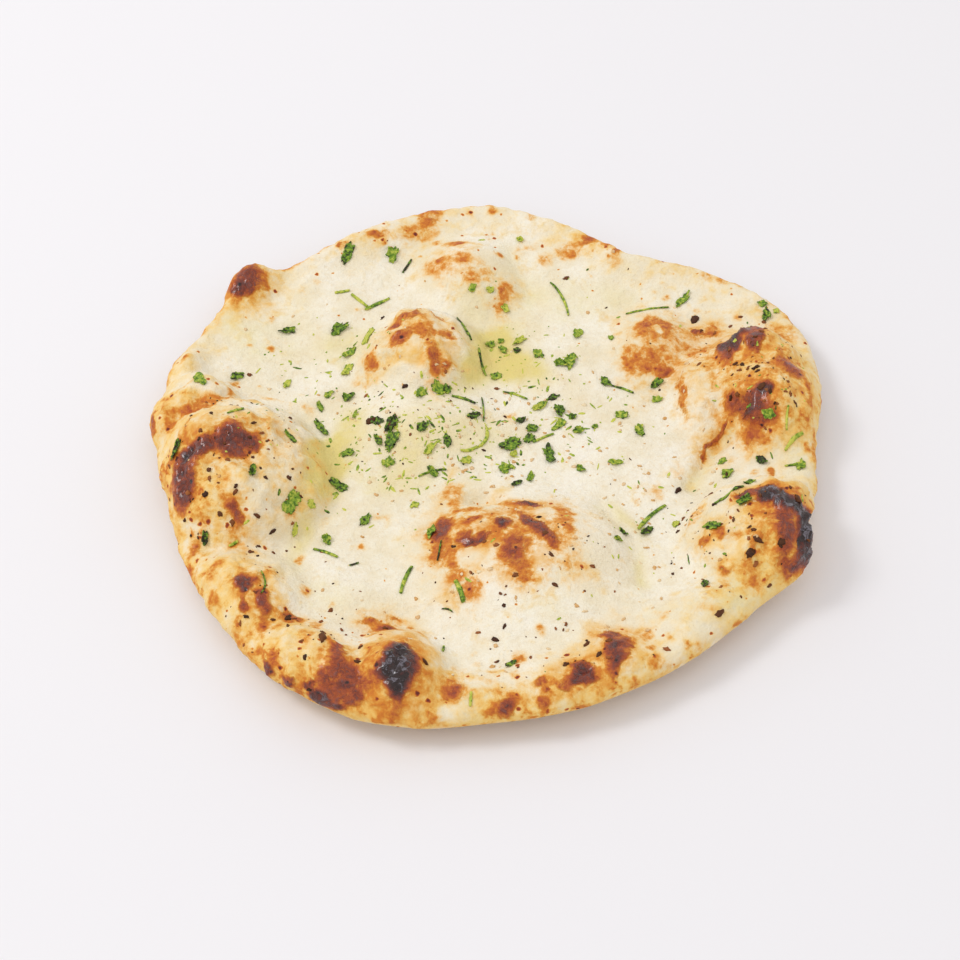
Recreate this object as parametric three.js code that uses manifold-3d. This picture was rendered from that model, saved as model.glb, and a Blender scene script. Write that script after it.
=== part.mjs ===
// A naan: a round leavened flatbread, about 250 mm across, baked against a hot oven wall.
// The bread is one closed body. Its underside is flat in the middle and lifts towards the edge, its
// rim is puffed into uneven pillows, and gas has blown domes in its face. Chopped coriander, leaf
// pieces and cut stems, is pressed into the face, so it is joined to the bread.
// Millimetres, +Z up. The origin is on the table under the middle of the bread, +X to the right and
// +Y to the back.
import * as THREE from 'three';
import { mergeVertices } from 'three/addons/utils/BufferGeometryUtils.js';
import Module from 'manifold-3d';

const MAT_DOUGH = new THREE.MeshStandardMaterial({ color: 0xecd9b4, roughness: 0.62, metalness: 0 });

// The edge, seen from above: its distance from the middle at equal steps of angle, from +X
// anticlockwise, and the knobs that stand out of it.
const EDGE_RADII = [
  120, 129, 133, 125, 114, 121, 127.5, 125.5, 121, 121, 123, 122,
  121, 118, 120, 124, 129.5, 130, 125, 123, 121, 120, 121, 119,
];
const EDGE_KNOBS = [
  { angle: 140, out: 8, wide: 5 }, // the scorched knuckle at the back left
  { angle: 176, out: 3, wide: 4.5 },
  { angle: 163, out: 2, wide: 4 },
  { angle: 329, out: 4, wide: 6 }, // the front right pillow
];

// How far the underside has lifted at the edge and how thick the bread is there, at equal steps of
// angle from +X. The back edge curls up thin, and the front and the sides are thick.
const EDGE_LIFT = [5, 6, 9, 7, 3.5, 3, 5, 6];
const EDGE_THICKNESS = [9, 6.5, 5.5, 6.5, 9.5, 9, 9.5, 10];
const MIDDLE_THICKNESS = 6.5;
const RIM_START = 0.62; // the share of the radius where the thickness begins to turn into the edge's
// The flat foot that the bread lies on. It has few, wide corners, and outside it the underside lifts.
const FOOT_CORNERS = 7;
const FOOT_RADIUS = 78;
const LIFT_CURVE = 1.4;
const FOOT_REACH = 1; // how high a point of the underside may be and still become a corner of the foot
const EDGE_ROUNDING = 1.35; // depth of the rounded edge, in half thicknesses

// Blown rim pillows: the middle, the half lengths across and along, the turn in degrees, the height
// over the sheet and how steep the foot is (2 is a soft dome, 3 a pillow).
const PILLOWS = [
  { x: -26, y: 45, rx: 26, ry: 25, turn: 0, high: 16, steep: 2.1 }, // the tall bubble in the face
  { x: 83, y: 26, rx: 14, ry: 22, turn: -12, high: 9, steep: 2.4 }, // the right pillow's inner fold
  { x: 102, y: 22, rx: 21, ry: 33, turn: 6, high: 14.5, steep: 2.6 }, // the right pillow
  { x: 92, y: -48, rx: 27, ry: 25, turn: 20, high: 16, steep: 2.6 }, // the front right pillow
  { x: -88, y: -18, rx: 33, ry: 37, turn: 8, high: 19, steep: 2.6 }, // the left pillow
  { x: -106, y: 14, rx: 16, ry: 15, turn: 25, high: 11, steep: 2.3 },
  { x: -118, y: 6, rx: 8, ry: 11, turn: 0, high: 7, steep: 2 },
  { x: -115, y: 33, rx: 10, ry: 11, turn: 0, high: 6, steep: 2 },
  { x: -81, y: -74, rx: 19, ry: 22, turn: 30, high: 9, steep: 2.2 },
  { x: -57, y: -104, rx: 25, ry: 19, turn: -22, high: 9, steep: 2.2 },
  { x: -30, y: -107, rx: 18, ry: 20, turn: 0, high: 11, steep: 2.2 },
  { x: -94, y: 83, rx: 13, ry: 11, turn: 40, high: 7, steep: 2 }, // the knuckle
];
const PILLOW_BLEND = 4.5; // how softly neighbouring pillows run together

// Soft swellings and the blisters on the pillows, which add to the height without a foot.
const SWELLINGS = [
  { x: -8, y: 88, rx: 28, ry: 27, turn: 0, high: 9 }, // the back bubble
  { x: -24, y: 12, rx: 32, ry: 30, turn: 0, high: 7 }, // the tall bubble's low front
  { x: 14, y: -60, rx: 52, ry: 46, turn: -8, high: 11.5 }, // the wide front bubble
  { x: 33, y: -52, rx: 24, ry: 24, turn: 0, high: 2.5 },
  { x: 63, y: 52, rx: 20, ry: 24, turn: 0, high: 5 },
  { x: 38, y: -102, rx: 19, ry: 18, turn: -30, high: 4.5 },
  { x: 18, y: -109, rx: 17, ry: 15, turn: 0, high: 3.5 },
  { x: -4, y: -114, rx: 18, ry: 13, turn: 0, high: 2.5 },
  { x: 70, y: -80, rx: 26, ry: 15, turn: 38, high: 4 },
  { x: 62, y: 93, rx: 34, ry: 13, turn: -22, high: 2.5 },
  { x: -48, y: 106, rx: 30, ry: 12, turn: 24, high: 3 },
  { x: -92, y: -10, rx: 24, ry: 15, turn: 12, high: 4.5 },
  { x: -107, y: -24, rx: 12, ry: 22, turn: -8, high: 3 },
  { x: -84, y: -41, rx: 9, ry: 16, turn: 25, high: 2 },
  { x: 97, y: 41, rx: 15, ry: 15, turn: 0, high: 4 },
  { x: 99, y: 11, rx: 17, ry: 15, turn: 0, high: 3 },
  { x: 108, y: -42, rx: 11, ry: 26, turn: -12, high: 3.5 },
  { x: -7, y: -44, rx: 16, ry: 12, turn: 10, high: 2 },
  { x: -31, y: -111, rx: 12, ry: 14, turn: 0, high: 3.5 }, // the blackened blister
  { x: -31, y: 54, rx: 15, ry: 11, turn: 0, high: 1.5 },
  { x: -50, y: -70, rx: 26, ry: 24, turn: 0, high: 2.5 },
  { x: 34, y: 40, rx: 30, ry: 26, turn: 0, high: 1.5 },
];

// Folds pressed into the face: the two ends, the depth and the half width.
const FOLDS = [
  { from: [92, 8], to: [82, -4], deep: 3.5, wide: 3 },
  { from: [82, -4], to: [73, -20], deep: 3, wide: 3.5 },
  { from: [40, -32], to: [49, -46], deep: 1.6, wide: 3.5 },
  { from: [49, -46], to: [52, -66], deep: 1.6, wide: 4 },
  { from: [-68, 12], to: [-58, -14], deep: 1.2, wide: 4 },
  { from: [8, 101], to: [17, 78], deep: 1.4, wide: 5 },
  { from: [112, 12], to: [118, 32], deep: 1.6, wide: 2.6 },
  { from: [-82, 82], to: [-76, 50], deep: 1.2, wide: 9 },
];

// Places of the coriander are given as they look from the eye, on a level plane through the rim, and
// are carried along the line of sight to the face.
const EYE = { x: -3, y: -458, z: 495 };
const SIGHT_LEVEL = 12;
const SIGHT_STEPS = 12;

// The largest leaf pieces: place, length, width and turn in degrees.
const LARGE_LEAVES = [
  [-56, 99, 10.5, 6.5, 75], [8, -6, 10, 6.5, 24], [-69, -34, 10.5, 5.5, 57], [-57, 55, 9.5, 5.5, 41],
  [-35, -4, 9.5, 5.5, 72], [-46, 51, 9.5, 5, 67], [-108, 28, 9.5, 5, -69], [-38, 98, 9, 5, 82],
  [22, -11, 10, 4.5, -79], [-53, -26, 8, 5.5, -41], [31, 37, 9.5, 4.5, 81], [76, 71, 10.5, 3.5, 55],
  [-18, 22, 7, 5, -44], [26, 4, 8, 4, 51], [-61, 2, 10.5, 3, -60], [15, -3, 6, 5, 53],
  [49, 9, 6.5, 4.5, -9], [-53, 32, 7, 4, 67], [-43, -42, 7, 4, 54], [-41, 6, 6, 4.5, -47],
  [85, -20, 6, 4.5, 48], [63, 25, 7.5, 3.5, 52], [-24, 3, 6.5, 4, 50], [-94, 29, 6.5, 4, 39],
  [112, -16, 6.5, 4, 64], [-36, -15, 5, 5, 35], [-52, 18, 5.5, 4.5, 27], [108, 63, 7, 3.5, 75],
  [90, -33, 7, 3.5, 34], [19, 41, 6, 4, -53], [3, 29, 6, 4, 33], [-36, 3, 6, 4, 58],
  [12, 48, 7.5, 3, 37], [19, 13, 7.5, 3, 38], [44, 26, 5.5, 4, -53], [-21, -8, 8, 2.6, 52],
];
// The largest cut stems: place, length, width, turn in degrees and bend.
const LARGE_STEMS = [
  [57, -41, 15.5, 2, 48, 0.12], [-43, 69, 11.5, 2.2, 36, 0], [28, 72, 18.5, 1.4, -69, 0.15],
  [-28, -69, 11.5, 2, 72, 0.1], [-10, -74, 9, 2.4, -72, 0.1], [-9, 56, 11.5, 1.8, -62, 0],
  [85, -30, 11.5, 1.8, 27, 0.1], [62, 66, 17, 1.2, 8, 0], [-9, 17, 9, 2, -10, 0.1],
  [-2, -2, 10, 1.8, 75, -0.3], [-56, -57, 9.5, 1.8, -25, 0.1], [-50, 71, 8.5, 2, -42, 0],
  [111, -4, 9, 1.8, 41, 0.1], [-2, 37, 11.5, 1.4, -77, -0.1], [-20, -20, 10.5, 1.2, 16, 0.15],
  [10, 19, 10, 1.2, -24, 0.1],
];
// Where the rest is strewn: the middle of each patch, its half lengths and its number of pieces.
const STREWN = [
  { x: -22, y: -2, rx: 34, ry: 20, pieces: 6 },
  { x: -62, y: 46, rx: 26, ry: 22, pieces: 3 },
  { x: 18, y: 40, rx: 30, ry: 24, pieces: 4 },
  { x: 44, y: 6, rx: 34, ry: 22, pieces: 4 },
  { x: 70, y: -52, rx: 34, ry: 24, pieces: 4 },
];
const STREWN_LENGTH = [5, 7.5];
const STREWN_SLIMNESS = [0.4, 0.7]; // width over length
const STREWN_SEED = 71;
const LEAF_ABOVE = 0.85; // how far a leaf stands over the bread
const LEAF_BELOW = 1.1; // how deep it is sunk, so that no piece is loose
const LEAF_CORNERS = 8;
const LEAF_LOBES = 0.22; // depth of the notches round a leaf
const LEAF_WAVE = 0.35;
const WAVE_RATE = 1; // radians to the millimetre
const STEM_STEPS = 4;

const TOP_SHARE = 0.7; // the share of the facets that the upper face gets
const FACET_ROWS = 18; // subdivision of the ball that the bread is shaped from
const RIM_CROWDING = 1.45; // how strongly facets are drawn towards the edge
const WELD_BALL = 1e-5; // corner points of the ball of radius 1 that are closer than this are one
const WELD_HERB = 1e-4;

const radians = THREE.MathUtils.degToRad;
const clamp = THREE.MathUtils.clamp;

function smoothStep(t) {
  const s = clamp(t, 0, 1);
  return s * s * (3 - 2 * s);
}

// The larger of two heights, with the seam between them filled over the given width.
function smoothMax(a, b, width) {
  const h = Math.max(width - Math.abs(a - b), 0) / width;
  return Math.max(a, b) + h * h * width * 0.25;
}

// A closed smooth curve through values at equal steps of angle.
function around(values, angle) {
  const n = values.length;
  const place = (((angle / (2 * Math.PI)) % 1) + 1) % 1 * n;
  const i = Math.floor(place);
  const t = place - i;
  const [a, b, c, d] = [-1, 0, 1, 2].map((step) => values[(i + step + n) % n]);
  return b + 0.5 * t * (c - a + t * (2 * a - 5 * b + 4 * c - d + t * (3 * (b - c) + d - a)));
}

function edgeRadius(angle) {
  const knobs = EDGE_KNOBS.map((knob) => {
    const apart = Math.atan2(Math.sin(angle - radians(knob.angle)), Math.cos(angle - radians(knob.angle)));
    return knob.out * Math.exp(-((apart / radians(knob.wide)) ** 2));
  });
  return around(EDGE_RADII, angle) + knobs.reduce((sum, out) => sum + out, 0);
}

// The distance from a mound's middle, 1 at its foot.
function moundDistance(mound, x, y) {
  const turn = radians(mound.turn);
  const dx = x - mound.x;
  const dy = y - mound.y;
  const across = dx * Math.cos(turn) + dy * Math.sin(turn);
  const along = dy * Math.cos(turn) - dx * Math.sin(turn);
  return Math.hypot(across / mound.rx, along / mound.ry);
}

function pillowHeight(x, y) {
  return PILLOWS.reduce((height, pillow) => {
    const d = moundDistance(pillow, x, y);
    return smoothMax(height, pillow.high * (1 - d ** pillow.steep), PILLOW_BLEND);
  }, 0);
}

function swellingHeight(x, y) {
  return SWELLINGS.reduce((height, swelling) => {
    const d = Math.min(moundDistance(swelling, x, y), 1);
    return height + swelling.high * (1 - d * d) ** 2;
  }, 0);
}

function foldDepth(x, y) {
  return FOLDS.reduce((depth, fold) => {
    const [ax, ay] = fold.from;
    const [bx, by] = fold.to;
    const length = Math.hypot(bx - ax, by - ay);
    const share = clamp(((x - ax) * (bx - ax) + (y - ay) * (by - ay)) / length ** 2, 0, 1);
    const apart = Math.hypot(x - ax - share * (bx - ax), y - ay - share * (by - ay));
    return Math.max(depth, fold.deep * Math.exp(-((apart / fold.wide) ** 2)));
  }, 0);
}

// The distance from the middle to the foot's outline, which has a corner on +X.
function footRadius(angle) {
  const side = (2 * Math.PI) / FOOT_CORNERS;
  const fromCorner = ((angle % side) + side) % side;
  return (FOOT_RADIUS * Math.cos(side / 2)) / Math.cos(fromCorner - side / 2);
}

// The heights of the underside and the upper face at a share of the edge's radius.
function breadFaces(angle, share) {
  const radius = edgeRadius(angle);
  const x = share * radius * Math.cos(angle);
  const y = share * radius * Math.sin(angle);
  const foot = footRadius(angle) / radius;
  const lift = around(EDGE_LIFT, angle) * Math.max((share - foot) / (1 - foot), 0) ** LIFT_CURVE;
  const rim = smoothStep((share - RIM_START) / (1 - RIM_START));
  const sheet = MIDDLE_THICKNESS + (around(EDGE_THICKNESS, angle) - MIDDLE_THICKNESS) * rim;
  const thick = sheet + pillowHeight(x, y) + swellingHeight(x, y) - foldDepth(x, y);
  const depth = ((1 - share) * radius) / (EDGE_ROUNDING * thick * 0.5);
  const fullness = depth < 1 ? Math.sqrt(1 - (1 - depth) ** 2) : 1;
  const middle = lift + thick / 2;
  return { x, y, under: middle - (thick / 2) * fullness, upper: middle + (thick / 2) * fullness };
}

// The height of the upper face over a place on the table.
function faceHeight(x, y) {
  const angle = Math.atan2(y, x);
  return breadFaces(angle, Math.min(Math.hypot(x, y) / edgeRadius(angle), 1)).upper;
}

// The place on the face that the eye sees at a point of the level plane.
function placeOnFace(x, y) {
  let height = SIGHT_LEVEL;
  let seen = [x, y];
  for (let i = 0; i < SIGHT_STEPS; i += 1) {
    const reach = (EYE.z - height) / (EYE.z - SIGHT_LEVEL);
    seen = [EYE.x + (x - EYE.x) * reach, EYE.y + (y - EYE.y) * reach];
    height += 0.5 * (faceHeight(...seen) - height);
  }
  return seen;
}

// Moves the underside's nearest corner point to each corner of the foot, so that the bread lies on them.
function squareFoot(place) {
  for (let corner = 0; corner < FOOT_CORNERS; corner += 1) {
    const angle = (2 * Math.PI * corner) / FOOT_CORNERS;
    const x = FOOT_RADIUS * Math.cos(angle);
    const y = FOOT_RADIUS * Math.sin(angle);
    const points = Array.from({ length: place.count }, (_, i) => i).filter((i) => place.getZ(i) < FOOT_REACH);
    const apart = (i) => Math.hypot(place.getX(i) - x, place.getY(i) - y);
    const nearest = points.reduce((best, i) => (apart(i) < apart(best) ? i : best));
    place.setXYZ(nearest, x, y, 0);
  }
}

// The bread, shaped from a ball of even facets: the part of the ball above a level becomes the upper
// face and the rest the underside.
function breadGeometry() {
  const ball = new THREE.IcosahedronGeometry(1, FACET_ROWS);
  ball.deleteAttribute('normal');
  ball.deleteAttribute('uv');
  const bread = mergeVertices(ball, WELD_BALL);
  const level = 1 - 2 * TOP_SHARE;
  const place = bread.getAttribute('position');
  for (let i = 0; i < place.count; i += 1) {
    const z = clamp(place.getZ(i), -1, 1);
    const angle = Math.atan2(place.getY(i), place.getX(i));
    const upper = z >= level;
    const spread = Math.sqrt(upper ? (1 - z) / (1 - level) : (1 + z) / (1 + level));
    const share = 1 - (1 - spread) ** RIM_CROWDING;
    const faces = breadFaces(angle, share);
    place.setXYZ(i, faces.x, faces.y, upper ? faces.upper : faces.under);
  }
  squareFoot(place);
  return bread;
}

// A flat piece laid on the face: its height becomes its height over the bread.
function layOnFace(piece, x, y, turn, wave) {
  piece.deleteAttribute('normal');
  piece.deleteAttribute('uv');
  const laid = mergeVertices(piece, WELD_HERB);
  laid.rotateZ(radians(turn));
  laid.translate(x, y, 0);
  const place = laid.getAttribute('position');
  for (let i = 0; i < place.count; i += 1) {
    const px = place.getX(i);
    const py = place.getY(i);
    const ripple = wave * Math.sin(WAVE_RATE * px) * Math.cos(WAVE_RATE * py);
    place.setZ(i, faceHeight(px, py) + place.getZ(i) + ripple);
  }
  return laid;
}

// A torn piece of leaf: an oval with notches.
function leafPiece([x, y, length, width, turn]) {
  const outline = new THREE.Shape();
  for (let i = 0; i < LEAF_CORNERS; i += 1) {
    const a = (2 * Math.PI * i) / LEAF_CORNERS;
    const notch = 1 + LEAF_LOBES * (i % 2 ? -1 : 1);
    const corner = [0.5 * length * notch * Math.cos(a), 0.5 * width * notch * Math.sin(a)];
    outline[i ? 'lineTo' : 'moveTo'](...corner);
  }
  outline.closePath();
  const depth = LEAF_ABOVE + LEAF_BELOW;
  const piece = new THREE.ExtrudeGeometry(outline, { depth, bevelEnabled: false, steps: 1 });
  piece.translate(0, 0, -LEAF_BELOW);
  return layOnFace(piece, x, y, turn, LEAF_WAVE);
}

// A cut stem or shred: a narrow strip that bends sideways.
function stemPiece([x, y, length, width, turn, bend]) {
  const piece = new THREE.BoxGeometry(length, width, LEAF_ABOVE + LEAF_BELOW, STEM_STEPS, 1, 1);
  const place = piece.getAttribute('position');
  for (let i = 0; i < place.count; i += 1) {
    const along = place.getX(i) / (0.5 * length);
    place.setY(i, place.getY(i) + bend * 0.5 * length * (1 - along * along));
  }
  piece.translate(0, 0, (LEAF_ABOVE - LEAF_BELOW) / 2);
  return layOnFace(piece, x, y, turn, 0);
}

// Seeded draws from 0 to 1, the same on every run.
function drawsFrom(seed) {
  let state = seed;
  return () => {
    state = (Math.imul(state, 1664525) + 1013904223) >>> 0;
    return state / 2 ** 32;
  };
}

// The smaller leaf pieces, spread evenly over their patches by turns of the golden angle.
function strewnLeaves() {
  const draw = drawsFrom(STREWN_SEED);
  const between = ([low, high]) => low + (high - low) * draw();
  const golden = Math.PI * (3 - Math.sqrt(5));
  return STREWN.flatMap((patch) =>
    Array.from({ length: patch.pieces }, (_, i) => {
      const out = Math.sqrt((i + draw()) / patch.pieces);
      const length = between(STREWN_LENGTH);
      return [
        patch.x + patch.rx * out * Math.cos(golden * i),
        patch.y + patch.ry * out * Math.sin(golden * i),
        length,
        length * between(STREWN_SLIMNESS),
        360 * draw(),
      ];
    }),
  );
}

const wasm = await Module();
wasm.setup();

function solidFrom(geometry) {
  const mesh = new wasm.Mesh({
    numProp: 3,
    vertProperties: new Float32Array(geometry.getAttribute('position').array),
    triVerts: new Uint32Array(geometry.index.array),
  });
  return new wasm.Manifold(mesh);
}

function geometryFrom(solid) {
  const mesh = solid.getMesh();
  const geometry = new THREE.BufferGeometry();
  geometry.setAttribute('position', new THREE.BufferAttribute(new Float32Array(mesh.vertProperties), 3));
  geometry.setIndex(new THREE.BufferAttribute(new Uint32Array(mesh.triVerts), 1));
  geometry.computeVertexNormals();
  return geometry;
}

function naan() {
  const onFace = ([x, y, ...rest]) => [...placeOnFace(x, y), ...rest];
  const herbs = [
    ...LARGE_LEAVES.map(onFace).map(leafPiece),
    ...LARGE_STEMS.map(onFace).map(stemPiece),
    ...strewnLeaves().map(leafPiece),
  ];
  const whole = herbs.reduce((solid, herb) => solid.add(solidFrom(herb)), solidFrom(breadGeometry()));
  const mesh = new THREE.Mesh(geometryFrom(whole), MAT_DOUGH);
  mesh.name = 'naan';
  return mesh;
}

const group = new THREE.Group();
group.add(naan());

export default group;
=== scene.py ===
"""A naan: a round leavened flatbread with a puffed rim, scorched on its pillows and bubbles, buttered,
and strewn with chopped coriander, dark seeds and garlic. Lengths in the tables are in millimetres."""

import math

import bmesh
import bpy
import numpy as np
from bpy.props import FloatProperty, FloatVectorProperty, IntProperty, PointerProperty
from mathutils import Matrix, Vector, noise
from mathutils.bvhtree import BVHTree


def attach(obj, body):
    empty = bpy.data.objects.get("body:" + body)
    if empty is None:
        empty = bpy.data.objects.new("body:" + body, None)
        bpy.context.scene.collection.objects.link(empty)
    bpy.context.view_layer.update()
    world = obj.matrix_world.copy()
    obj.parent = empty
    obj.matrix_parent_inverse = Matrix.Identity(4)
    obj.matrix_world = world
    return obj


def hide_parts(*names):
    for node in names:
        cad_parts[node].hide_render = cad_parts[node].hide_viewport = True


bl_info = {
    "name": "Naan Bread",
    "version": (1, 0, 0),
    "blender": (4, 5, 0),
    "location": "3D View > Sidebar > Naan",
    "description": "Builds a scorched and buttered naan with its coriander, on a plain stage",
    "category": "Add Mesh",
}

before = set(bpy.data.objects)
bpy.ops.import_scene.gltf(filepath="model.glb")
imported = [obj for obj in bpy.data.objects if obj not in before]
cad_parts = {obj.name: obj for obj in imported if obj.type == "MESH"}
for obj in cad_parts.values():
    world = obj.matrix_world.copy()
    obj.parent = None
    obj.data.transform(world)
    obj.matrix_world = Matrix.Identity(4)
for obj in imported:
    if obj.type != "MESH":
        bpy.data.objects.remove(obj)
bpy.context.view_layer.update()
MM = 0.001

# The edge, seen from above: its distance from the middle at equal steps of angle, from +X
# anticlockwise, and the knobs that stand out of it (angle, out, width in degrees).
EDGE_RADII = [
    120, 129, 133, 125, 114, 121, 127.5, 125.5, 121, 121, 123, 122,
    121, 118, 120, 124, 129.5, 130, 125, 123, 121, 120, 121, 119,
]
EDGE_KNOBS = [(140, 8, 5), (176, 3, 4.5), (163, 2, 4), (329, 4, 6)]
EDGE_LIFT = [5, 6, 9, 7, 3.5, 3, 5, 6]
EDGE_THICKNESS = [9, 6.5, 5.5, 6.5, 9.5, 9, 9.5, 10]
MIDDLE_THICKNESS = 6.5
RIM_START = 0.62
FOOT_CORNERS = 7
FOOT_RADIUS = 78
LIFT_CURVE = 1.4
EDGE_ROUNDING = 1.35

# Rim pillows: x, y, half lengths across and along, turn in degrees, height and steepness of the foot.
PILLOWS = [
    (-26, 45, 26, 25, 0, 16, 2.1),
    (83, 26, 14, 22, -12, 9, 2.4),
    (102, 22, 21, 33, 6, 14.5, 2.6),
    (92, -48, 27, 25, 20, 16, 2.6),
    (-88, -18, 33, 37, 8, 19, 2.6),
    (-106, 14, 16, 15, 25, 11, 2.3),
    (-118, 6, 8, 11, 0, 7, 2),
    (-115, 33, 10, 11, 0, 6, 2),
    (-81, -74, 19, 22, 30, 9, 2.2),
    (-57, -104, 25, 19, -22, 9, 2.2),
    (-30, -107, 18, 20, 0, 11, 2.2),
    (-94, 83, 13, 11, 40, 7, 2),
]
PILLOW_BLEND = 4.5
# Soft swellings: x, y, half lengths, turn and height.
SWELLINGS = [
    (-8, 88, 28, 27, 0, 9),
    (-24, 12, 32, 30, 0, 7),
    (14, -60, 52, 46, -8, 11.5),
    (33, -52, 24, 24, 0, 2.5),
    (63, 52, 20, 24, 0, 5),
    (38, -102, 19, 18, -30, 4.5),
    (18, -109, 17, 15, 0, 3.5),
    (-4, -114, 18, 13, 0, 2.5),
    (70, -80, 26, 15, 38, 4),
    (62, 93, 34, 13, -22, 2.5),
    (-48, 106, 30, 12, 24, 3),
    (-92, -10, 24, 15, 12, 4.5),
    (-107, -24, 12, 22, -8, 3),
    (-84, -41, 9, 16, 25, 2),
    (97, 41, 15, 15, 0, 4),
    (99, 11, 17, 15, 0, 3),
    (108, -42, 11, 26, -12, 3.5),
    (-7, -44, 16, 12, 10, 2),
    (-31, -111, 12, 14, 0, 3.5),
    (-31, 54, 15, 11, 0, 1.5),
    (-50, -70, 26, 24, 0, 2.5),
    (34, 40, 30, 26, 0, 1.5),
]
# Folds pressed into the face: the two ends, the depth and the half width.
FOLDS = [
    ((92, 8), (82, -4), 3.5, 3),
    ((82, -4), (73, -20), 3, 3.5),
    ((40, -32), (49, -46), 1.6, 3.5),
    ((49, -46), (52, -66), 1.6, 4),
    ((-68, 12), (-58, -14), 1.2, 4),
    ((8, 101), (17, 78), 1.4, 5),
    ((112, 12), (118, 32), 1.6, 2.6),
    ((-82, 82), (-76, 50), 1.2, 9),
]

# Fine relief of the crust: the width of its lumps and how far they stand, over the whole face, the
# wrinkles of the blown pillows, the blistering of the charred places and the torn look of the edge.
CRUST_RELIEF = [(15, 0.55), (6.5, 0.32), (2.8, 0.16)]
PILLOW_WRINKLES = [(11, 0.95), (5, 0.42)]
CHAR_RELIEF = [(5.5, 0.95), (2.4, 0.45)]
EDGE_RELIEF = [(5, 0.7), (2.4, 0.4)]
# Dents pressed into the bubbles: x, y, half lengths, turn and depth.
DENTS = [
    (-2, -31, 10.5, 6.5, -8, 5.0), (24, -47, 8, 3, -55, 1.4),
    (96, 29, 7, 4, 10, 1.2), (-28, 36, 6, 5, 0, 0.8),
]
# Small toasted blisters strewn round the rim: their number, half sizes, darkness and height.
BLISTERS = 150
BLISTER_SIZE = (1.1, 3.6)
BLISTER_BAKE = (0.3, 0.7)
BLISTER_STAND = 0.5
BLISTER_SEED = 29
# Browning of the very edge: where it begins and its width, its darkness, how much less it
# is at the right, and its patches' strength and size.
EDGE_BAKE_START, EDGE_BAKE_WIDTH = 0.955, 0.045
EDGE_BAKE = 0.34
EDGE_BAKE_SLOPE = 0.08
EDGE_BAKE_PATCHES = (0.5, 9.0)
# The plain underside: the cube of its even browning, and its spots' number, radius, half sizes and darkness.
UNDER_BAKE_CUBED = 0.07
UNDER_SPOTS = 46
UNDER_RADIUS = 112
UNDER_SPOT_SIZE = (3, 10)
UNDER_SPOT_BAKE = (0.4, 0.95)
UNDER_SEED = 5

# Places on the face are given as they look from the eye, on a level plane through the rim.
EYE = Vector((-3, -458, 495))
SIGHT_LEVEL = 12

# The stage, in metres: half the floor's side, and the large soft light's size and place.
FLOOR_HALF = 6
KEY_SIZE = 0.6
KEY_PLACE = (-1.35, 0.2, 1.6)
SKY_COLOUR = (1.0, 0.985, 0.97, 1.0)

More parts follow.
